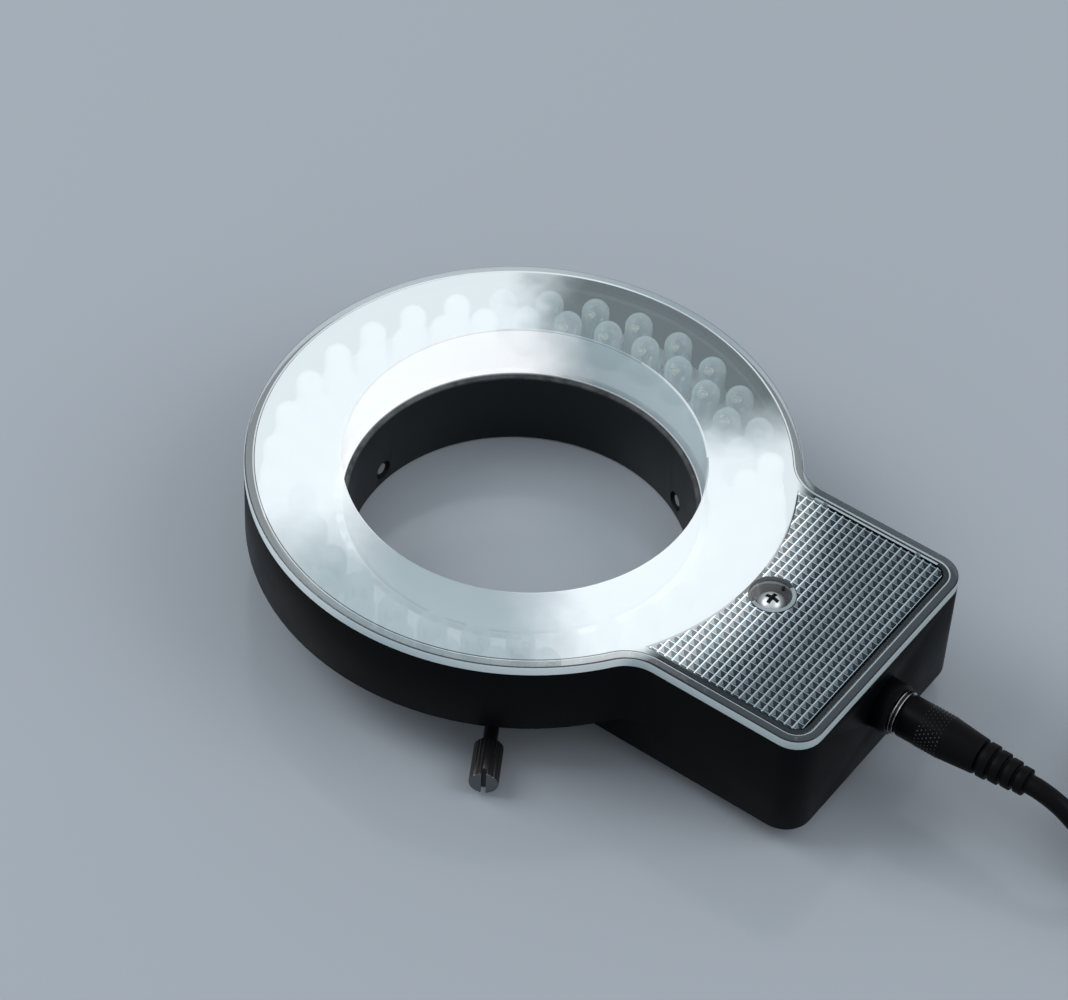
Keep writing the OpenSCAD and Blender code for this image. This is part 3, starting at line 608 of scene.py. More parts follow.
def keyhole_loop(inset):
    """Plan of the keyhole moved in by inset, from the middle of the tail's end round to it again."""
    half, end = HALF_W - inset, TAIL_X - inset
    corner = max(CORNER_R - inset, 0.5 * MM)
    meet = math.degrees(math.atan2(blend_y, blend_x))
    upper = [(end, half * share) for share in (0, 0.2, 0.4, 0.6)]
    upper += arc(end - corner, half - corner, corner, 0, 90, 8)
    upper += [(blend_x + (end - corner - blend_x) * share, half) for share in (0.75, 0.5, 0.25)]
    upper += arc(blend_x, blend_y, BLEND_R + inset, -90, meet - 180, 8)
    upper += arc(0, 0, RING_R - inset, meet, 180, 64)[1:]
    return upper + [(x, -y) for x, y in reversed(upper[1:-1])]


outer_plan = keyhole_loop(0)
plan_angles = [math.atan2(y, x) for x, y in outer_plan]


def round_loop(radius):
    """A circle with one point on the ray of each point of the outline."""
    return [(radius * math.cos(t), radius * math.sin(t)) for t in plan_angles]


EDGE, LINE, RIM, WINDOW, SKIRT, UNDER, CUP, LIP, GLINT = range(9)
EDGE_BREAK, GROOVE, FOOT_BREAK = 0.3 * MM, 0.12 * MM, 0.04 * MM
BREAK_IN, RIM_OUT = 0.1 * MM, 0.32 * MM
GLINT_OUT, GROOVE_MID, GROOVE_IN = 1.46 * MM, 1.7 * MM, 1.84 * MM
PANE_OUT, PANE_IN = 2.2 * MM, 2.59 * MM
LIP_WIDE, LIP_BREAK = 0.3 * MM, 0.08 * MM
RIB_OUT, RIB_IN, RIB_DEPTH = 1.95 * MM, 2.75 * MM, 1 * MM
# The bands marked GLINT are painted highlights, and those marked LINE, at the rim's outer edge and in its
# groove, are painted shade.
cover_loops = [
    (keyhole_loop(0), cover_seat, EDGE),
    (keyhole_loop(0), cover_top - EDGE_BREAK, EDGE),
    (keyhole_loop(BREAK_IN), cover_top - GROOVE, LINE),
    (keyhole_loop(RIM_OUT), cover_top, RIM),
    (keyhole_loop(GLINT_OUT), cover_top, GLINT),
    (keyhole_loop(GROOVE_MID), cover_top - GROOVE, LINE),
    (keyhole_loop(GROOVE_IN), cover_top, WINDOW),
    (keyhole_loop(PANE_OUT), cover_top, WINDOW),
    (keyhole_loop(PANE_IN), cover_top, WINDOW),
    (round_loop(skirt_in + LIP_WIDE), cover_top, LIP),
    (round_loop(skirt_in + LIP_BREAK), cover_top - LIP_BREAK, LIP),
    (round_loop(skirt_in), cover_top - EDGE_BREAK, SKIRT),
    (round_loop(skirt_in), skirt_low + FOOT_BREAK, SKIRT),
    (round_loop(skirt_in + FOOT_BREAK), skirt_low, SKIRT),
    (round_loop(skirt_out - FOOT_BREAK), skirt_low, UNDER),
    (round_loop(skirt_out), skirt_low + FOOT_BREAK, UNDER),
    (round_loop(skirt_out), cover_seat, UNDER),
    (keyhole_loop(RIB_IN), cover_seat, UNDER),
    (keyhole_loop(RIB_IN), cover_seat - RIB_DEPTH, UNDER),
    (keyhole_loop(RIB_OUT), cover_seat - RIB_DEPTH, UNDER),
    (keyhole_loop(RIB_OUT), cover_seat, UNDER),
]


def lofted(name, loops):
    """A closed skin through loops of equal count; each band takes its loop's material number."""
    count = len(loops[0][0])
    points = [(x, y, z) for plan, z, _ in loops for x, y in plan]
    skin, marks = [], []
    for i, (_, _, mark) in enumerate(loops):
        here, ahead = i * count, (i + 1) % len(loops) * count
        for k in range(count):
            after = (k + 1) % count
            skin.append((here + k, here + after, ahead + after, ahead + k))
            marks.append(mark)
    mesh = bpy.data.meshes.new(name)
    mesh.from_pydata(points, [], skin)
    mesh.polygons.foreach_set("material_index", marks)
    made = bpy.data.objects.new(name, mesh)
    bpy.context.collection.objects.link(made)
    only(made)
    edit_all()
    bpy.ops.mesh.remove_doubles(threshold=1e-7)
    bpy.ops.mesh.normals_make_consistent(inside=False)
    bpy.ops.object.mode_set(mode="OBJECT")
    return made


def cut(piece, tool, operation="DIFFERENCE"):
    """Boolean piece by tool, which is then deleted."""
    only(piece)
    step = piece.modifiers.new("cut", "BOOLEAN")
    step.object = tool
    step.operation = operation
    step.solver = "EXACT"
    bpy.ops.object.modifier_apply(modifier="cut")
    bpy.data.objects.remove(tool)


def bar(radius, x, y, low, high, sides=64):
    """An upright round bar to cut or add with."""
    bpy.ops.object.select_all(action="DESELECT")
    bpy.ops.mesh.primitive_cylinder_add(
        vertices=sides, radius=radius, depth=high - low, location=(x, y, (low + high) / 2)
    )
    bpy.ops.object.transform_apply(location=True)
    return bpy.context.object


BLOCK_FROM, PAST = 30 * MM, 5 * MM


def tail_block(inset, low, high, ring_radius):
    """The tail's rounded plan, moved in, outside the ring's circle, as a block to cut with."""
    half, end = HALF_W - inset, TAIL_X - inset
    corner = max(CORNER_R - inset, 0.5 * MM)
    plan = arc(end - corner, half - corner, corner, 0, 90, 8)
    plan = [(x, -y) for x, y in reversed(plan)] + plan
    plan = [(BLOCK_FROM, half), (BLOCK_FROM, -half)] + plan
    mesh = bpy.data.meshes.new("tail_block")
    mesh.from_pydata([(x, y, low) for x, y in plan], [], [tuple(range(len(plan)))])
    made = bpy.data.objects.new("tail_block", mesh)
    bpy.context.collection.objects.link(made)
    only(made)
    edit_all()
    bpy.ops.mesh.extrude_region_move(TRANSFORM_OT_translate={"value": (0, 0, high - low)})
    bpy.ops.mesh.select_all(action="SELECT")
    bpy.ops.mesh.normals_make_consistent(inside=False)
    bpy.ops.object.mode_set(mode="OBJECT")
    cut(made, bar(ring_radius, 0, 0, low - PAST, high + PAST, 192))
    return made


screw_low, screw_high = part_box("cover_screw")
screw_x = (screw_low.x + screw_high.x) / 2
BORDER, LAP = 2.6 * MM, 1 * MM
pocket_low = 24.95 * MM
cup_low, cup_floor = 22.4 * MM, 23.2 * MM
cup_in, cup_out, shank_hole = 3.3 * MM, 3.95 * MM, 1.4 * MM
NIB_R, NIB_PLACES = 0.5 * MM, (46.3 * MM, 64.7 * MM)
panel_low, panel_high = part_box("prism_panel")
cover = lofted("clear_cover", cover_loops)
cut(cover, tail_block(BORDER, pocket_low, cover_top + PAST, RING_R - LAP))
cut(cover, bar(cup_out, screw_x, 0, cup_low, panel_high.z), "UNION")
cut(cover, bar(cup_in, screw_x, 0, cup_floor, cover_top + PAST))
cut(cover, bar(shank_hole, screw_x, 0, cup_low - PAST, cover_top + PAST, 32))
for nib_x in NIB_PLACES:
    cut(cover, bar(NIB_R, nib_x, HALF_W - BORDER, pocket_low, cover_top + PAST, 24))
NEAR, MARGIN, BRINK, LEVEL = 0.02 * MM, 0.1 * MM, 0.01 * MM, 0.9
POCKET_BACK, GLINT_X, LIP_SHARE, WALL_TOP = 0.3 * MM, 44 * MM, 0.4, 0.05 * MM
GLINT_FROM, GLINT_TO = 38, 86
pocket_x, pocket_y = TAIL_X - BORDER, HALF_W - BORDER
# Painted light by place: the cup's faces are dark, painted shade, except its rim on the tail's end side,
# painted lighter; the bore's lip on the far side and a strip along the pocket's far edge are painted
# highlights; the pocket's walls are painted shade.
for flat in cover.data.polygons:
    x, y, z = flat.center
    corners = [cover.data.vertices[v].co for v in flat.vertices]
    off_screw = max(math.hypot(p.x - screw_x, p.y) for p in corners)
    turned = math.degrees(math.atan2(y, x))
    in_pocket = RING_R - LAP - POCKET_BACK < x < pocket_x + NEAR and abs(y) < pocket_y + NEAR
    along_pocket = pocket_y < y < HALF_W - PANE_OUT and GLINT_X < x < TAIL_X - CORNER_R
    if off_screw < cup_out + MARGIN:
        cup_lip = flat.normal.z > LEVEL and off_screw > cup_in + MARGIN
        flat.material_index = LIP if cup_lip and x > screw_x + LIP_SHARE * cup_out else CUP
    elif flat.material_index == LIP and GLINT_FROM < turned < GLINT_TO:
        flat.material_index = GLINT
    elif along_pocket and flat.normal.z > LEVEL and z > cover_top - BRINK:
        flat.material_index = GLINT
    elif in_pocket and pocket_low - BRINK < z < cover_top - WALL_TOP:
        flat.material_index = LINE
only(cover)
bpy.ops.object.shade_smooth_by_angle(angle=math.radians(30))
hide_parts("lens_cover")
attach(cover, HEAD)
# Where the painted sheen on the cover's near side thins out.
SHEEN_NEAR_Y, SHEEN_FAR_Y = -44 * MM, -8 * MM


def clear_plastic(
    name, color, alpha, rough, glow=None,
    tail_shade_color=None, tail_shade_alpha=None, inner_alpha=None, near_sheen_alpha=None, lit_alpha=None,
):
    """A face of the clear cover: seen through by alpha, with a painted glow of the lamps' light.

    Over the tail it can have a darker colour and its own alpha, painted shade of the dark housing
    below. The inside and the lit quarters can have their own alpha, and the near side a thicker one, a
    painted sheen.
    """
    made, tree, shader = new_material(name, color=color)
    shader.inputs["Alpha"].default_value = alpha
    smear = node(tree, "ShaderNodeTexNoise", Scale=120.0, Detail=4.0)
    place = tree.nodes.new("ShaderNodeTexCoord")
    gloss = node(tree, "ShaderNodeMapRange", From_Min=0.3, From_Max=0.7, To_Min=rough[0], To_Max=rough[1])
    tree.links.new(place.outputs["Object"], smear.inputs["Vector"])
    tree.links.new(smear.outputs["Fac"], gloss.inputs["Value"])
    tree.links.new(gloss.outputs["Result"], shader.inputs["Roughness"])
    if glow:
        lamps_glow = add_glow(tree, shader, *glow)
        # Painted shade: over the tail the colour goes darker, for the dark housing below.
        if tail_shade_color:
            region = two_colors(tree, tail_shade_color, color)
            tree.links.new(lamps_glow.outputs["Ring"], region.inputs["Factor"])
            tree.links.new(region.outputs["Result"], shader.inputs["Base Color"])
        if tail_shade_alpha is not None:
            thicker = node(tree, "ShaderNodeMapRange", To_Min=tail_shade_alpha, To_Max=alpha)
            tree.links.new(lamps_glow.outputs["Ring"], thicker.inputs["Value"])
            tree.links.new(thicker.outputs["Result"], shader.inputs["Alpha"])
    if inner_alpha is not None:
        seen_from = tree.nodes.new("ShaderNodeNewGeometry")
        thinner = node(tree, "ShaderNodeMapRange", To_Min=alpha, To_Max=inner_alpha)
        tree.links.new(seen_from.outputs["Backfacing"], thinner.inputs["Value"])
        tree.links.new(thinner.outputs["Result"], shader.inputs["Alpha"])
    # Painted sheen: towards the near side the pale alpha grows thicker.
    if near_sheen_alpha is not None:
        split = tree.nodes.new("ShaderNodeSeparateXYZ")
        painted_near_sheen = node(
            tree, "ShaderNodeMapRange", From_Min=SHEEN_NEAR_Y, From_Max=SHEEN_FAR_Y, To_Min=near_sheen_alpha, To_Max=alpha
        )
        tree.links.new(place.outputs["Object"], split.inputs["Vector"])
        outshone = tree.nodes.new("ShaderNodeMix")
        outshone.inputs["B"].default_value = lit_alpha or alpha
        tree.links.new(split.outputs["Y"], painted_near_sheen.inputs["Value"])
        tree.links.new(lamps_glow.outputs["Share"], outshone.inputs["Factor"])
        tree.links.new(painted_near_sheen.outputs["Result"], outshone.inputs["A"])
        tree.links.new(outshone.outputs["Result"], thicker.inputs["To Max"])
    return made


# Over the lit quarters each face but the under side and the cup has a painted glow of the lamps' light. The
# line and cup faces are dark, painted shade, and the glint faces pale, painted highlights.
for material in (
    clear_plastic(
        "cover_edge", (0.58, 0.7, 0.73), 0.85, (0.12, 0.25), (0.35, 50, 90),
        tail_shade_color=(0.5, 0.6, 0.62), inner_alpha=0.5,
    ),
    clear_plastic(
        "cover_line_shade", (0.1, 0.12, 0.125), 0.6, (0.1, 0.2), (0.05, 50, 80),
        tail_shade_color=(0.012, 0.015, 0.017), tail_shade_alpha=0.85,
    ),
    clear_plastic(
        "cover_rim", (0.42, 0.52, 0.55), 0.3, (0.05, 0.2), (0.35, 40, 80),
        tail_shade_color=(0.045, 0.06, 0.07), tail_shade_alpha=0.85, near_sheen_alpha=0.52,
    ),
    clear_plastic(
        "cover_window", (0.56, 0.68, 0.71), 0.24, (0.05, 0.2), (0.4, 40, 64, 4),
        tail_shade_color=(0.05, 0.065, 0.075), tail_shade_alpha=0.4, near_sheen_alpha=0.64, lit_alpha=0.78,
    ),
    clear_plastic(
        "cover_skirt", (0.58, 0.72, 0.75), 0.78, (0.05, 0.15), (0.74, 42, 72, 32), inner_alpha=0.42
    ),
    clear_plastic("cover_under", (0.46, 0.56, 0.58), 0.05, (0.05, 0.15)),
    clear_plastic("cover_cup_shade", (0.04, 0.05, 0.055), 0.5, (0.05, 0.15)),
    clear_plastic("cover_lip", (0.5, 0.62, 0.65), 0.5, (0.04, 0.1), (0.75, 42, 72, 32)),
    clear_plastic(
        "cover_glint", (0.62, 0.73, 0.75), 0.72, (0.05, 0.15), (0.3, 60, 90), tail_shade_color=(0.5, 0.6, 0.63)
    ),
):
    cover.data.materials.append(material)


# Prism panel: a clear moulded sheet set into the cover's pocket, cut out round the screw's cup. Its
# face is a net of ridges round square pits. Each facet is painted lighter or darker by the way it faces,
# the ridges are painted highlights, and near the ring the sheet is painted lighter with a painted glow.
PITCH, PIT_DEPTH, PULL_DOWN = 1.45 * MM, 0.5 * MM, 3 * MM
RIDGE_X, RIDGE_Y = 0.07 * MM, 0.11 * MM
SHEET_GAP, CUP_GAP, PATTERN_BACK = 0.3 * MM, 0.15 * MM, 0.35 * MM
RIDGE_LONG_HIGHLIGHT, RIDGE_CROSS_HIGHLIGHT, SIDE_SHADE = 0.85, 0.5, 0.02
FACET_OUT_LIGHT, FACET_BACK_SHADE, FACET_FAR_LIGHT, FACET_NEAR_SHADE = 0.19, 0.008, 0.13, 0.016
columns = math.ceil((panel_high.x - panel_low.x) / PITCH) + 1
rows = 2 * math.ceil(panel_high.y / PITCH) + 2
squeeze = RIDGE_X / RIDGE_Y
bpy.ops.object.select_all(action="DESELECT")
bpy.ops.mesh.primitive_grid_add(x_subdivisions=columns, y_subdivisions=rows, size=1)
panel = bpy.context.object
panel.name = panel.data.name = "prism_sheet"
panel.scale = (columns * PITCH * squeeze, rows * PITCH, 1)
bpy.ops.object.transform_apply(scale=True)
bpy.ops.object.mode_set(mode="EDIT")
bpy.ops.mesh.select_mode(type="FACE")
bpy.ops.mesh.select_all(action="SELECT")
bpy.ops.mesh.inset(thickness=RIDGE_X, use_individual=True)
bpy.ops.object.mode_set(mode="OBJECT")
panel.scale = (1 / squeeze, 1, 1)
panel.location = (panel_high.x - PATTERN_BACK - columns * PITCH / 2, 0, panel_high.z)
bpy.ops.object.transform_apply(location=True, scale=True)
bpy.ops.object.mode_set(mode="EDIT")
bpy.ops.mesh.poke(offset=-PIT_DEPTH)
bpy.ops.mesh.select_all(action="SELECT")
bpy.ops.mesh.extrude_region_move(TRANSFORM_OT_translate={"value": (0, 0, -PULL_DOWN)})
bpy.ops.mesh.select_all(action="SELECT")
bpy.ops.mesh.normals_make_consistent(inside=False)
bpy.ops.object.mode_set(mode="OBJECT")
sheet_block = tail_block(BORDER + SHEET_GAP, panel_low.z, panel_high.z + 1 * MM, RING_R - LAP + SHEET_GAP)
cut(sheet_block, bar(cup_out + CUP_GAP, screw_x, 0, panel_low.z - PAST, panel_high.z + PAST))
cut(panel, sheet_block, "INTERSECT")
facet = panel.data.attributes.new("facet_painted_shade", "FLOAT", "FACE")
# Painted light and shade by the way each face turns: the ridges' tops are painted highlights, the facets
# turned one way painted light and the other way painted shade, the steep sides painted dark.
for flat in panel.data.polygons:
    spread = [panel.data.vertices[v].co for v in flat.vertices]
    wide = max(p.x for p in spread) - min(p.x for p in spread)
    deep = max(p.y for p in spread) - min(p.y for p in spread)
    if flat.normal.z > 0.98 and flat.center.z > panel_high.z - 0.2 * MM:
        tone = RIDGE_LONG_HIGHLIGHT if deep >= wide else RIDGE_CROSS_HIGHLIGHT
    elif flat.normal.z < 0.3:
        tone = SIDE_SHADE
    elif abs(flat.normal.x) > abs(flat.normal.y):
        tone = FACET_OUT_LIGHT if flat.normal.x > 0 else FACET_BACK_SHADE
    else:
        tone = FACET_FAR_LIGHT if flat.normal.y > 0 else FACET_NEAR_SHADE
    facet.data[flat.index].value = tone
# Painted light from the ring: the sheet's colour is lighter near the ring's near side, with a painted glow
# there, both fading away from it.
LIGHT_SIDE, LIGHT_FROM = 5 * MM, 46 * MM
panel_clear, tree, shader = new_material("panel_clear", rough=0.12)
shader.inputs["Specular IOR Level"].default_value = 0.25
facet_painted_shade = tree.nodes.new("ShaderNodeAttribute")
facet_painted_shade.attribute_name = "facet_painted_shade"
place = tree.nodes.new("ShaderNodeTexCoord")
flow = node(tree, "ShaderNodeTexNoise", Scale=90.0, Detail=3.0)
flowed = node(tree, "ShaderNodeMapRange", To_Min=0.75, To_Max=1.25)
far_ring = tree.nodes.new("ShaderNodeVectorMath")
far_ring.operation = "DISTANCE"
far_ring.inputs[1].default_value = (0, -LIGHT_SIDE, panel_high.z)
painted_ring_light = node(
    tree, "ShaderNodeMapRange", From_Min=LIGHT_FROM, From_Max=60 * MM, To_Min=1.45, To_Max=0.6
)
ring_light = node(
    tree, "ShaderNodeMapRange", From_Min=LIGHT_FROM, From_Max=56 * MM, To_Min=1.0, To_Max=0.0
)
ring_light.interpolation_type = "SMOOTHSTEP"
taken = node(tree, "ShaderNodeMapRange", To_Min=0.25, To_Max=1.0)
painted_ring_glow = maths(tree, "MULTIPLY")
shine = two_colors(tree, second=(0.9, 0.97, 1))
shader.inputs["Emission Strength"].default_value = 0.8
stirred = maths(tree, "MULTIPLY")
lifted = maths(tree, "MULTIPLY")
shade = two_colors(tree, (0.008, 0.018, 0.026), (0.72, 0.88, 0.94))
link = tree.links.new
link(place.outputs["Object"], flow.inputs["Vector"])
link(place.outputs["Object"], far_ring.inputs[0])
link(far_ring.outputs["Value"], painted_ring_light.inputs["Value"])
link(flow.outputs["Fac"], flowed.inputs["Value"])
link(facet_painted_shade.outputs["Fac"], stirred.inputs[0])
link(flowed.outputs["Result"], stirred.inputs[1])
link(stirred.outputs["Value"], lifted.inputs[0])
link(painted_ring_light.outputs["Result"], lifted.inputs[1])
link(lifted.outputs["Value"], shade.inputs["Factor"])
link(shade.outputs["Result"], shader.inputs["Base Color"])
link(far_ring.outputs["Value"], ring_light.inputs["Value"])
link(facet_painted_shade.outputs["Fac"], taken.inputs["Value"])
link(ring_light.outputs["Result"], painted_ring_glow.inputs[0])
link(taken.outputs["Result"], painted_ring_glow.inputs[1])
link(painted_ring_glow.outputs["Value"], shine.inputs["Factor"])
link(shine.outputs["Result"], shader.inputs["Emission Color"])
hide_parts("prism_panel")
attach(panel, HEAD)
finish_with(panel, panel_clear)


# Cover screw: a bright steel pan-head screw with a cross recess. It sits in the cover's cup and goes
# into a brass insert, pressed into the housing's post.
screw_steel = grained(
    "screw_steel", (0.62, 0.66, 0.68), (0.76, 0.8, 0.82), 1500, (0.3, 0.42), 0.00001, 0.6
)
cover_screw = softened("cover_screw", "cover_pan_screw", 0.12 * MM)
HEAD_RISE, RECESS_R, RECESS_DEPTH = 1.35, 1.6 * MM, 0.6 * MM
for point in cover_screw.data.vertices:
    if point.co.z > cup_floor:
        point.co.z = cup_floor + (point.co.z - cup_floor) * HEAD_RISE
finish_with(cover_screw, screw_steel)
# Painted shade in the cross recess: the faces down in it take a near black steel.
recess_shade_steel = grained(
    "recess_shade_steel", (0.02, 0.024, 0.026), (0.045, 0.05, 0.054), 1500, (0.4, 0.55), 0.00001, gloss=0.2
)
cover_screw.data.materials.append(recess_shade_steel)
head_top = max(point.co.z for point in cover_screw.data.vertices)
for flat in cover_screw.data.polygons:
    off_axis = math.hypot(flat.center.x - screw_x, flat.center.y)
    in_head = off_axis < RECESS_R and flat.center.z > cup_floor + 0.3 * MM
    if in_head and (abs(flat.normal.z) < 0.6 or flat.center.z < head_top - RECESS_DEPTH):
        flat.material_index = 1
brass = grained("brass", (0.55, 0.36, 0.12), (0.65, 0.45, 0.18), 1200, (0.25, 0.35), 0.00001, 1.0)
paint("cover_insert", brass)


# Thumb screws: three steel screws with ridged heads and a slotted end, painted near black on their sides,
# painted shade, with a brighter end face, a painted reflection. Their fine threads go through the
# collar's wall, and soft nylon tips keep them from marking the objective.
end_sheen_steel = grained("end_sheen_steel", (0.1, 0.11, 0.115), (0.18, 0.19, 0.2), 1500, (0.2, 0.32), 0.00001, 1.0)
nylon = grained("nylon", (0.16, 0.165, 0.17), (0.24, 0.245, 0.25), 900, (0.4, 0.5), 0.00001)
for i in (1, 2, 3):
    screw = softened(f"thumb_screw_{i}", f"clamp_screw_{i}", 0.08 * MM, f"screw_{i}")
    finish_with(screw, black_oxide_and_shade)
    screw.data.materials.append(end_sheen_steel)
    # The outer end face takes the brighter steel, a painted reflection; the rest keeps the dark steel,
    # painted shade.
    head_end = max(math.hypot(v.co.x, v.co.y) for v in screw.data.vertices)
    for flat in screw.data.polygons:
        outward = Vector((flat.center.x, flat.center.y, 0)).normalized()
        reach = flat.center.x * outward.x + flat.center.y * outward.y
        if reach > head_end - 0.2 * MM and flat.normal.dot(outward) > 0.3:
            flat.material_index = 1
    paint(f"screw_tip_{i}", nylon)


# Plugs: one on each end of the lead, a moulded black grip with a patch of fine points, a bright
# nickel ring in front and a ribbed rubber boot behind, moulded round the lead.
plug_black = grained(
    "plug_black", (0.0012, 0.0012, 0.0016), (0.003, 0.003, 0.004), 1300, (0.36, 0.5), 0.00003, gloss=0.08
)
boot_black = grained(
    "boot_black", (0.0012, 0.0012, 0.0016), (0.003, 0.003, 0.004), 1300, (0.4, 0.52), 0.00003, gloss=0.08
)
knurl_black = grained(
    "knurl_black", (0.004, 0.004, 0.005), (0.008, 0.008, 0.01), 1300, (0.2, 0.3), 0.00001, gloss=0.6
)
KNURL_R, KNURL_FROM, KNURL_TO = 3.72 * MM, 4.2 * MM, 8 * MM
KNURL_ROWS, KNURL_ROUND = 7, 30
POINT_FOOT, POINT_TOP, POINT_TALL = 0.3 * MM, 0.08 * MM, 0.24 * MM


def grip_knurl(name, low, high, axis_y, axis_z):
    """Rows of small points round a plug's grip, between two places along it."""
    bpy.ops.object.select_all(action="DESELECT")
    points = []
    for i in range(KNURL_ROWS):
        x = low + (high - low) * i / (KNURL_ROWS - 1)
        bpy.ops.mesh.primitive_cone_add(
            vertices=4, radius1=POINT_FOOT, radius2=POINT_TOP, depth=POINT_TALL,
            location=(x, axis_y, axis_z + KNURL_R),
        )
        bpy.ops.object.transform_apply(location=True)
        point = bpy.context.object
        edit_all()
        if i % 2:
            bpy.ops.transform.rotate(
                value=math.radians(180 / KNURL_ROUND), orient_axis="X", center_override=(x, axis_y, axis_z)
            )
        bpy.ops.mesh.spin(
            steps=KNURL_ROUND, dupli=True, angle=math.radians(360), center=(x, axis_y, axis_z), axis=(1, 0, 0)
        )
        bpy.ops.mesh.select_all(action="SELECT")
        bpy.ops.mesh.remove_doubles(threshold=1e-7)
        bpy.ops.mesh.normals_make_consistent(inside=False)
        bpy.ops.object.mode_set(mode="OBJECT")
        points.append(point)
    knurl = joined(points, name)
    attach(knurl, HEAD)
    finish_with(knurl, knurl_black)
    return knurl


def groove_shaded_nickel(name, low, high):
    """Nickel for a ring with two rolled lips, with a dark band painted round its middle: painted shade in the
    groove between them.
    """
    made, tree, shader = new_material(name, rough=0.22, metal=1.0)
    place = tree.nodes.new("ShaderNodeTexCoord")
    split = tree.nodes.new("ShaderNodeSeparateXYZ")
    middle, reach = (low + high) / 2, (high - low) / 2
    off_middle = maths(tree, "SUBTRACT")
    off_middle.inputs[1].default_value = middle
    either = maths(tree, "ABSOLUTE")
    lip = node(tree, "ShaderNodeMapRange", From_Min=0.55 * reach, From_Max=0.8 * reach)
    sheen = two_colors(tree, (0.025, 0.027, 0.03), (0.66, 0.67, 0.68))
    tree.links.new(place.outputs["Object"], split.inputs["Vector"])
    tree.links.new(split.outputs["X"], off_middle.inputs[0])
    tree.links.new(off_middle.outputs["Value"], either.inputs[0])
    tree.links.new(either.outputs["Value"], lip.inputs["Value"])
    tree.links.new(lip.outputs["Result"], sheen.inputs["Factor"])
    tree.links.new(sheen.outputs["Result"], shader.inputs["Base Color"])
    return made


lead_pieces = []
for prefix in ("", "far_"):
    grip = softened(prefix + "plug_body", prefix + "plug_grip", 0.2 * MM)
    finish_with(grip, plug_black)
    boot = softened(prefix + "strain_relief", prefix + "plug_boot", 0.15 * MM)
    finish_with(boot, boot_black)
    ring_low, ring_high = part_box(prefix + "plug_ring")
    paint(prefix + "plug_ring", groove_shaded_nickel(prefix + "ring_nickel_groove_shade", ring_low.x, ring_high.x))
    paint(prefix + "plug_barrel", bright_nickel)
    grip_low, grip_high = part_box(prefix + "plug_body")
    front = grip_low.x if not prefix else grip_high.x
    toward = 1 if not prefix else -1
    knurl = grip_knurl(
        prefix + "plug_knurl", front + toward * KNURL_FROM, front + toward * KNURL_TO,
        (grip_low.y + grip_high.y) / 2, (grip_low.z + grip_high.z) / 2,
    )
    lead_pieces += [grip, boot, knurl]


# Tie: a black woven strap that keeps the stored lead together. It is drawn close round one side of
# the coil, and its free end is pressed down on top.
TIE_WIDTH, TIE_THICK, TIE_AIR = 6 * MM, 0.6 * MM, 0.3 * MM
TAB_LENGTH, TAB_THICK, TAB_EASE = 5 * MM, 0.5 * MM, 0.12 * MM
TAB_INSET, TAB_SINK = 0.4 * MM, 0.05 * MM
TURN_STEPS = 180


def strap_outline():
    """Points round the turns that the strap holds, on the side of the coil that faces the tail."""
    reach = lead_d / 2 + TIE_AIR
    rim = []
    for i in range(int(COIL_TURNS * TURN_STEPS) + 1):
        place = coil_point(i / TURN_STEPS)
        if place.x < coil_x and abs(place.y - coil_y) < TIE_WIDTH / 2 + 0.5 * MM:
            rim += arc(place.x, place.z, reach, 0, 345, 23)
    rim = sorted(set(rim))
    outline = []
    for run in (rim, rim[::-1]):
        side = []
        for point in run:
            while len(side) > 1:
                (ax, az), (bx, bz) = side[-2:]
                if (bx - ax) * (point[1] - az) - (bz - az) * (point[0] - ax) > 0:
                    break
                side.pop()
            side.append(point)
        outline += side[:-1]
    return outline


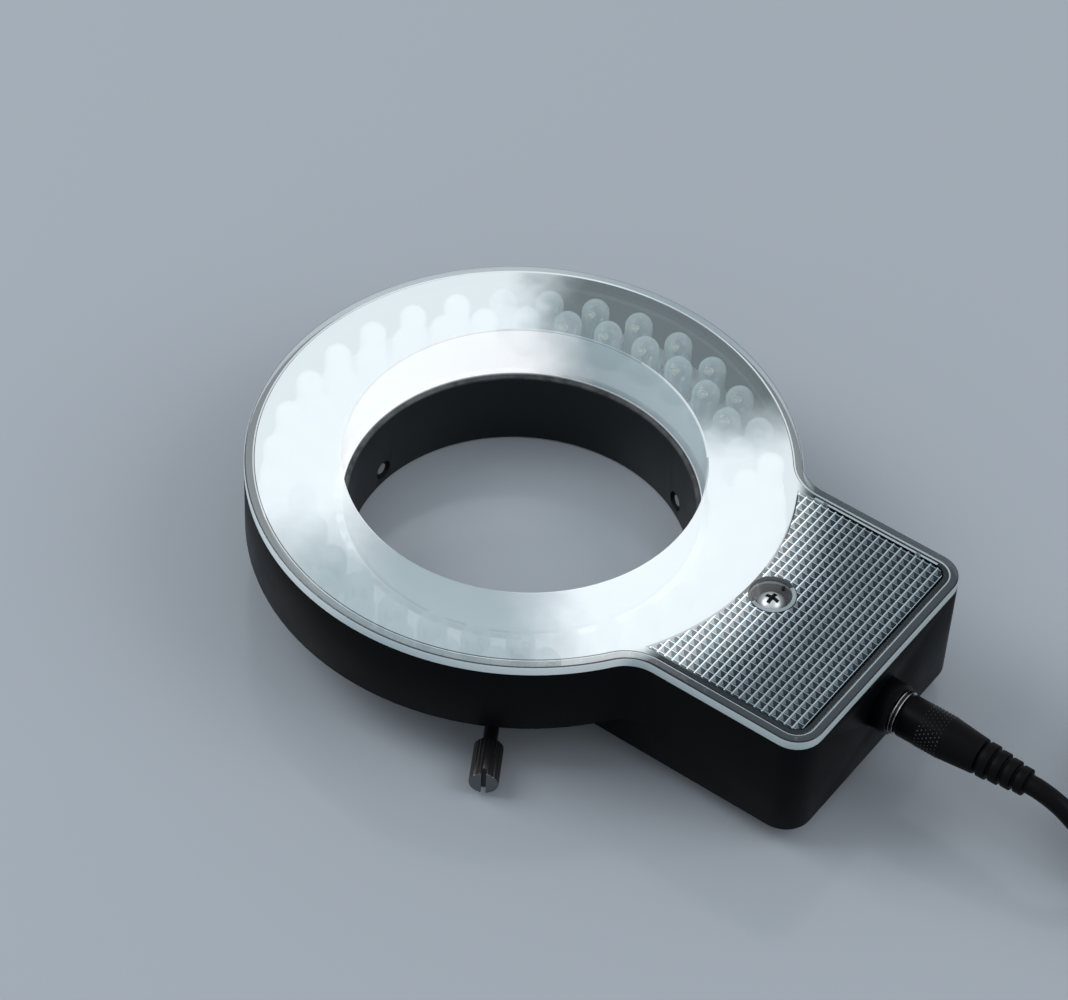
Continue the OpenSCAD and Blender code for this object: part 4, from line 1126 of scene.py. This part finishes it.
strap_black = grained("strap_black", (0.01, 0.01, 0.01), (0.02, 0.02, 0.02), 1500, (0.7, 0.85), 0.0001)
tie_plan = strap_outline()
bpy.ops.object.select_all(action="DESELECT")
bpy.ops.mesh.primitive_circle_add(vertices=len(tie_plan), radius=1)
tie = bpy.context.object
tie.name = tie.data.name = "tie_strap"
for point, (x, z) in zip(tie.data.vertices, tie_plan):
    point.co = (x, coil_y - TIE_WIDTH / 2, z)
edit_all()
bpy.ops.mesh.extrude_edges_move(TRANSFORM_OT_translate={"value": (0, TIE_WIDTH, 0)})
bpy.ops.mesh.select_all(action="SELECT")
bpy.ops.mesh.normals_make_consistent(inside=False)
bpy.ops.object.mode_set(mode="OBJECT")
thick = tie.modifiers.new("thick", "SOLIDIFY")
thick.thickness = TIE_THICK
thick.offset = 1
thick.use_even_offset = True
bpy.ops.object.modifier_apply(modifier="thick")
tie_top = max(point.co.z for point in tie.data.vertices)
tie_mid = sum(x for x, _ in tie_plan) / len(tie_plan)
tab_size = (TAB_LENGTH, TIE_WIDTH - TAB_INSET, TAB_THICK)
tab = block(tab_size, (tie_mid, coil_y, tie_top - TAB_SINK), TAB_EASE)
tie = joined([tie, tab], "tie_strap")
bpy.ops.object.shade_smooth_by_angle(angle=math.radians(40))
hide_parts("coil_tie")
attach(tie, HEAD)
finish_with(tie, strap_black)
with_lead = lead_pieces + [tie]
for name in ("plug_ring", "plug_barrel", "far_plug_ring", "far_plug_barrel"):
    with_lead.append(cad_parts[name])


# Floor and light: a plain pale bench with a slight gloss, under two broad soft lamps and an even sky.
# None of it belongs to the object.
bpy.ops.object.select_all(action="DESELECT")
bpy.ops.mesh.primitive_plane_add(size=6, location=(0, 0, 0))
floor = bpy.context.object
floor.name = "floor"
floor.data.materials.append(new_material("floor_pale", rough=0.14, color=(0.36, 0.4, 0.44))[0])
world = bpy.data.worlds.new("studio")
bpy.context.scene.world = world
world.use_nodes = True
sky = world.node_tree.nodes["Background"]
sky.inputs["Color"].default_value = (0.9, 0.94, 1, 1)
sky.inputs["Strength"].default_value = 0.6


def soft_lamp(name, place, aim, size, power):
    """A square area lamp that looks at a point."""
    data = bpy.data.lights.new(name, "AREA")
    data.size = size
    data.energy = power
    lamp = bpy.data.objects.new(name, data)
    lamp.location = place
    lamp.rotation_euler = (Vector(aim) - Vector(place)).to_track_quat("-Z", "Y").to_euler()
    bpy.context.collection.objects.link(lamp)


soft_lamp("key", (-0.75, -0.35, 0.9), (0.03, 0, 0), 0.7, 6.5)
soft_lamp("fill", (0.85, 0.35, 0.8), (0.03, 0, 0), 0.8, 4)
bpy.context.scene.view_settings.view_transform = "Standard"
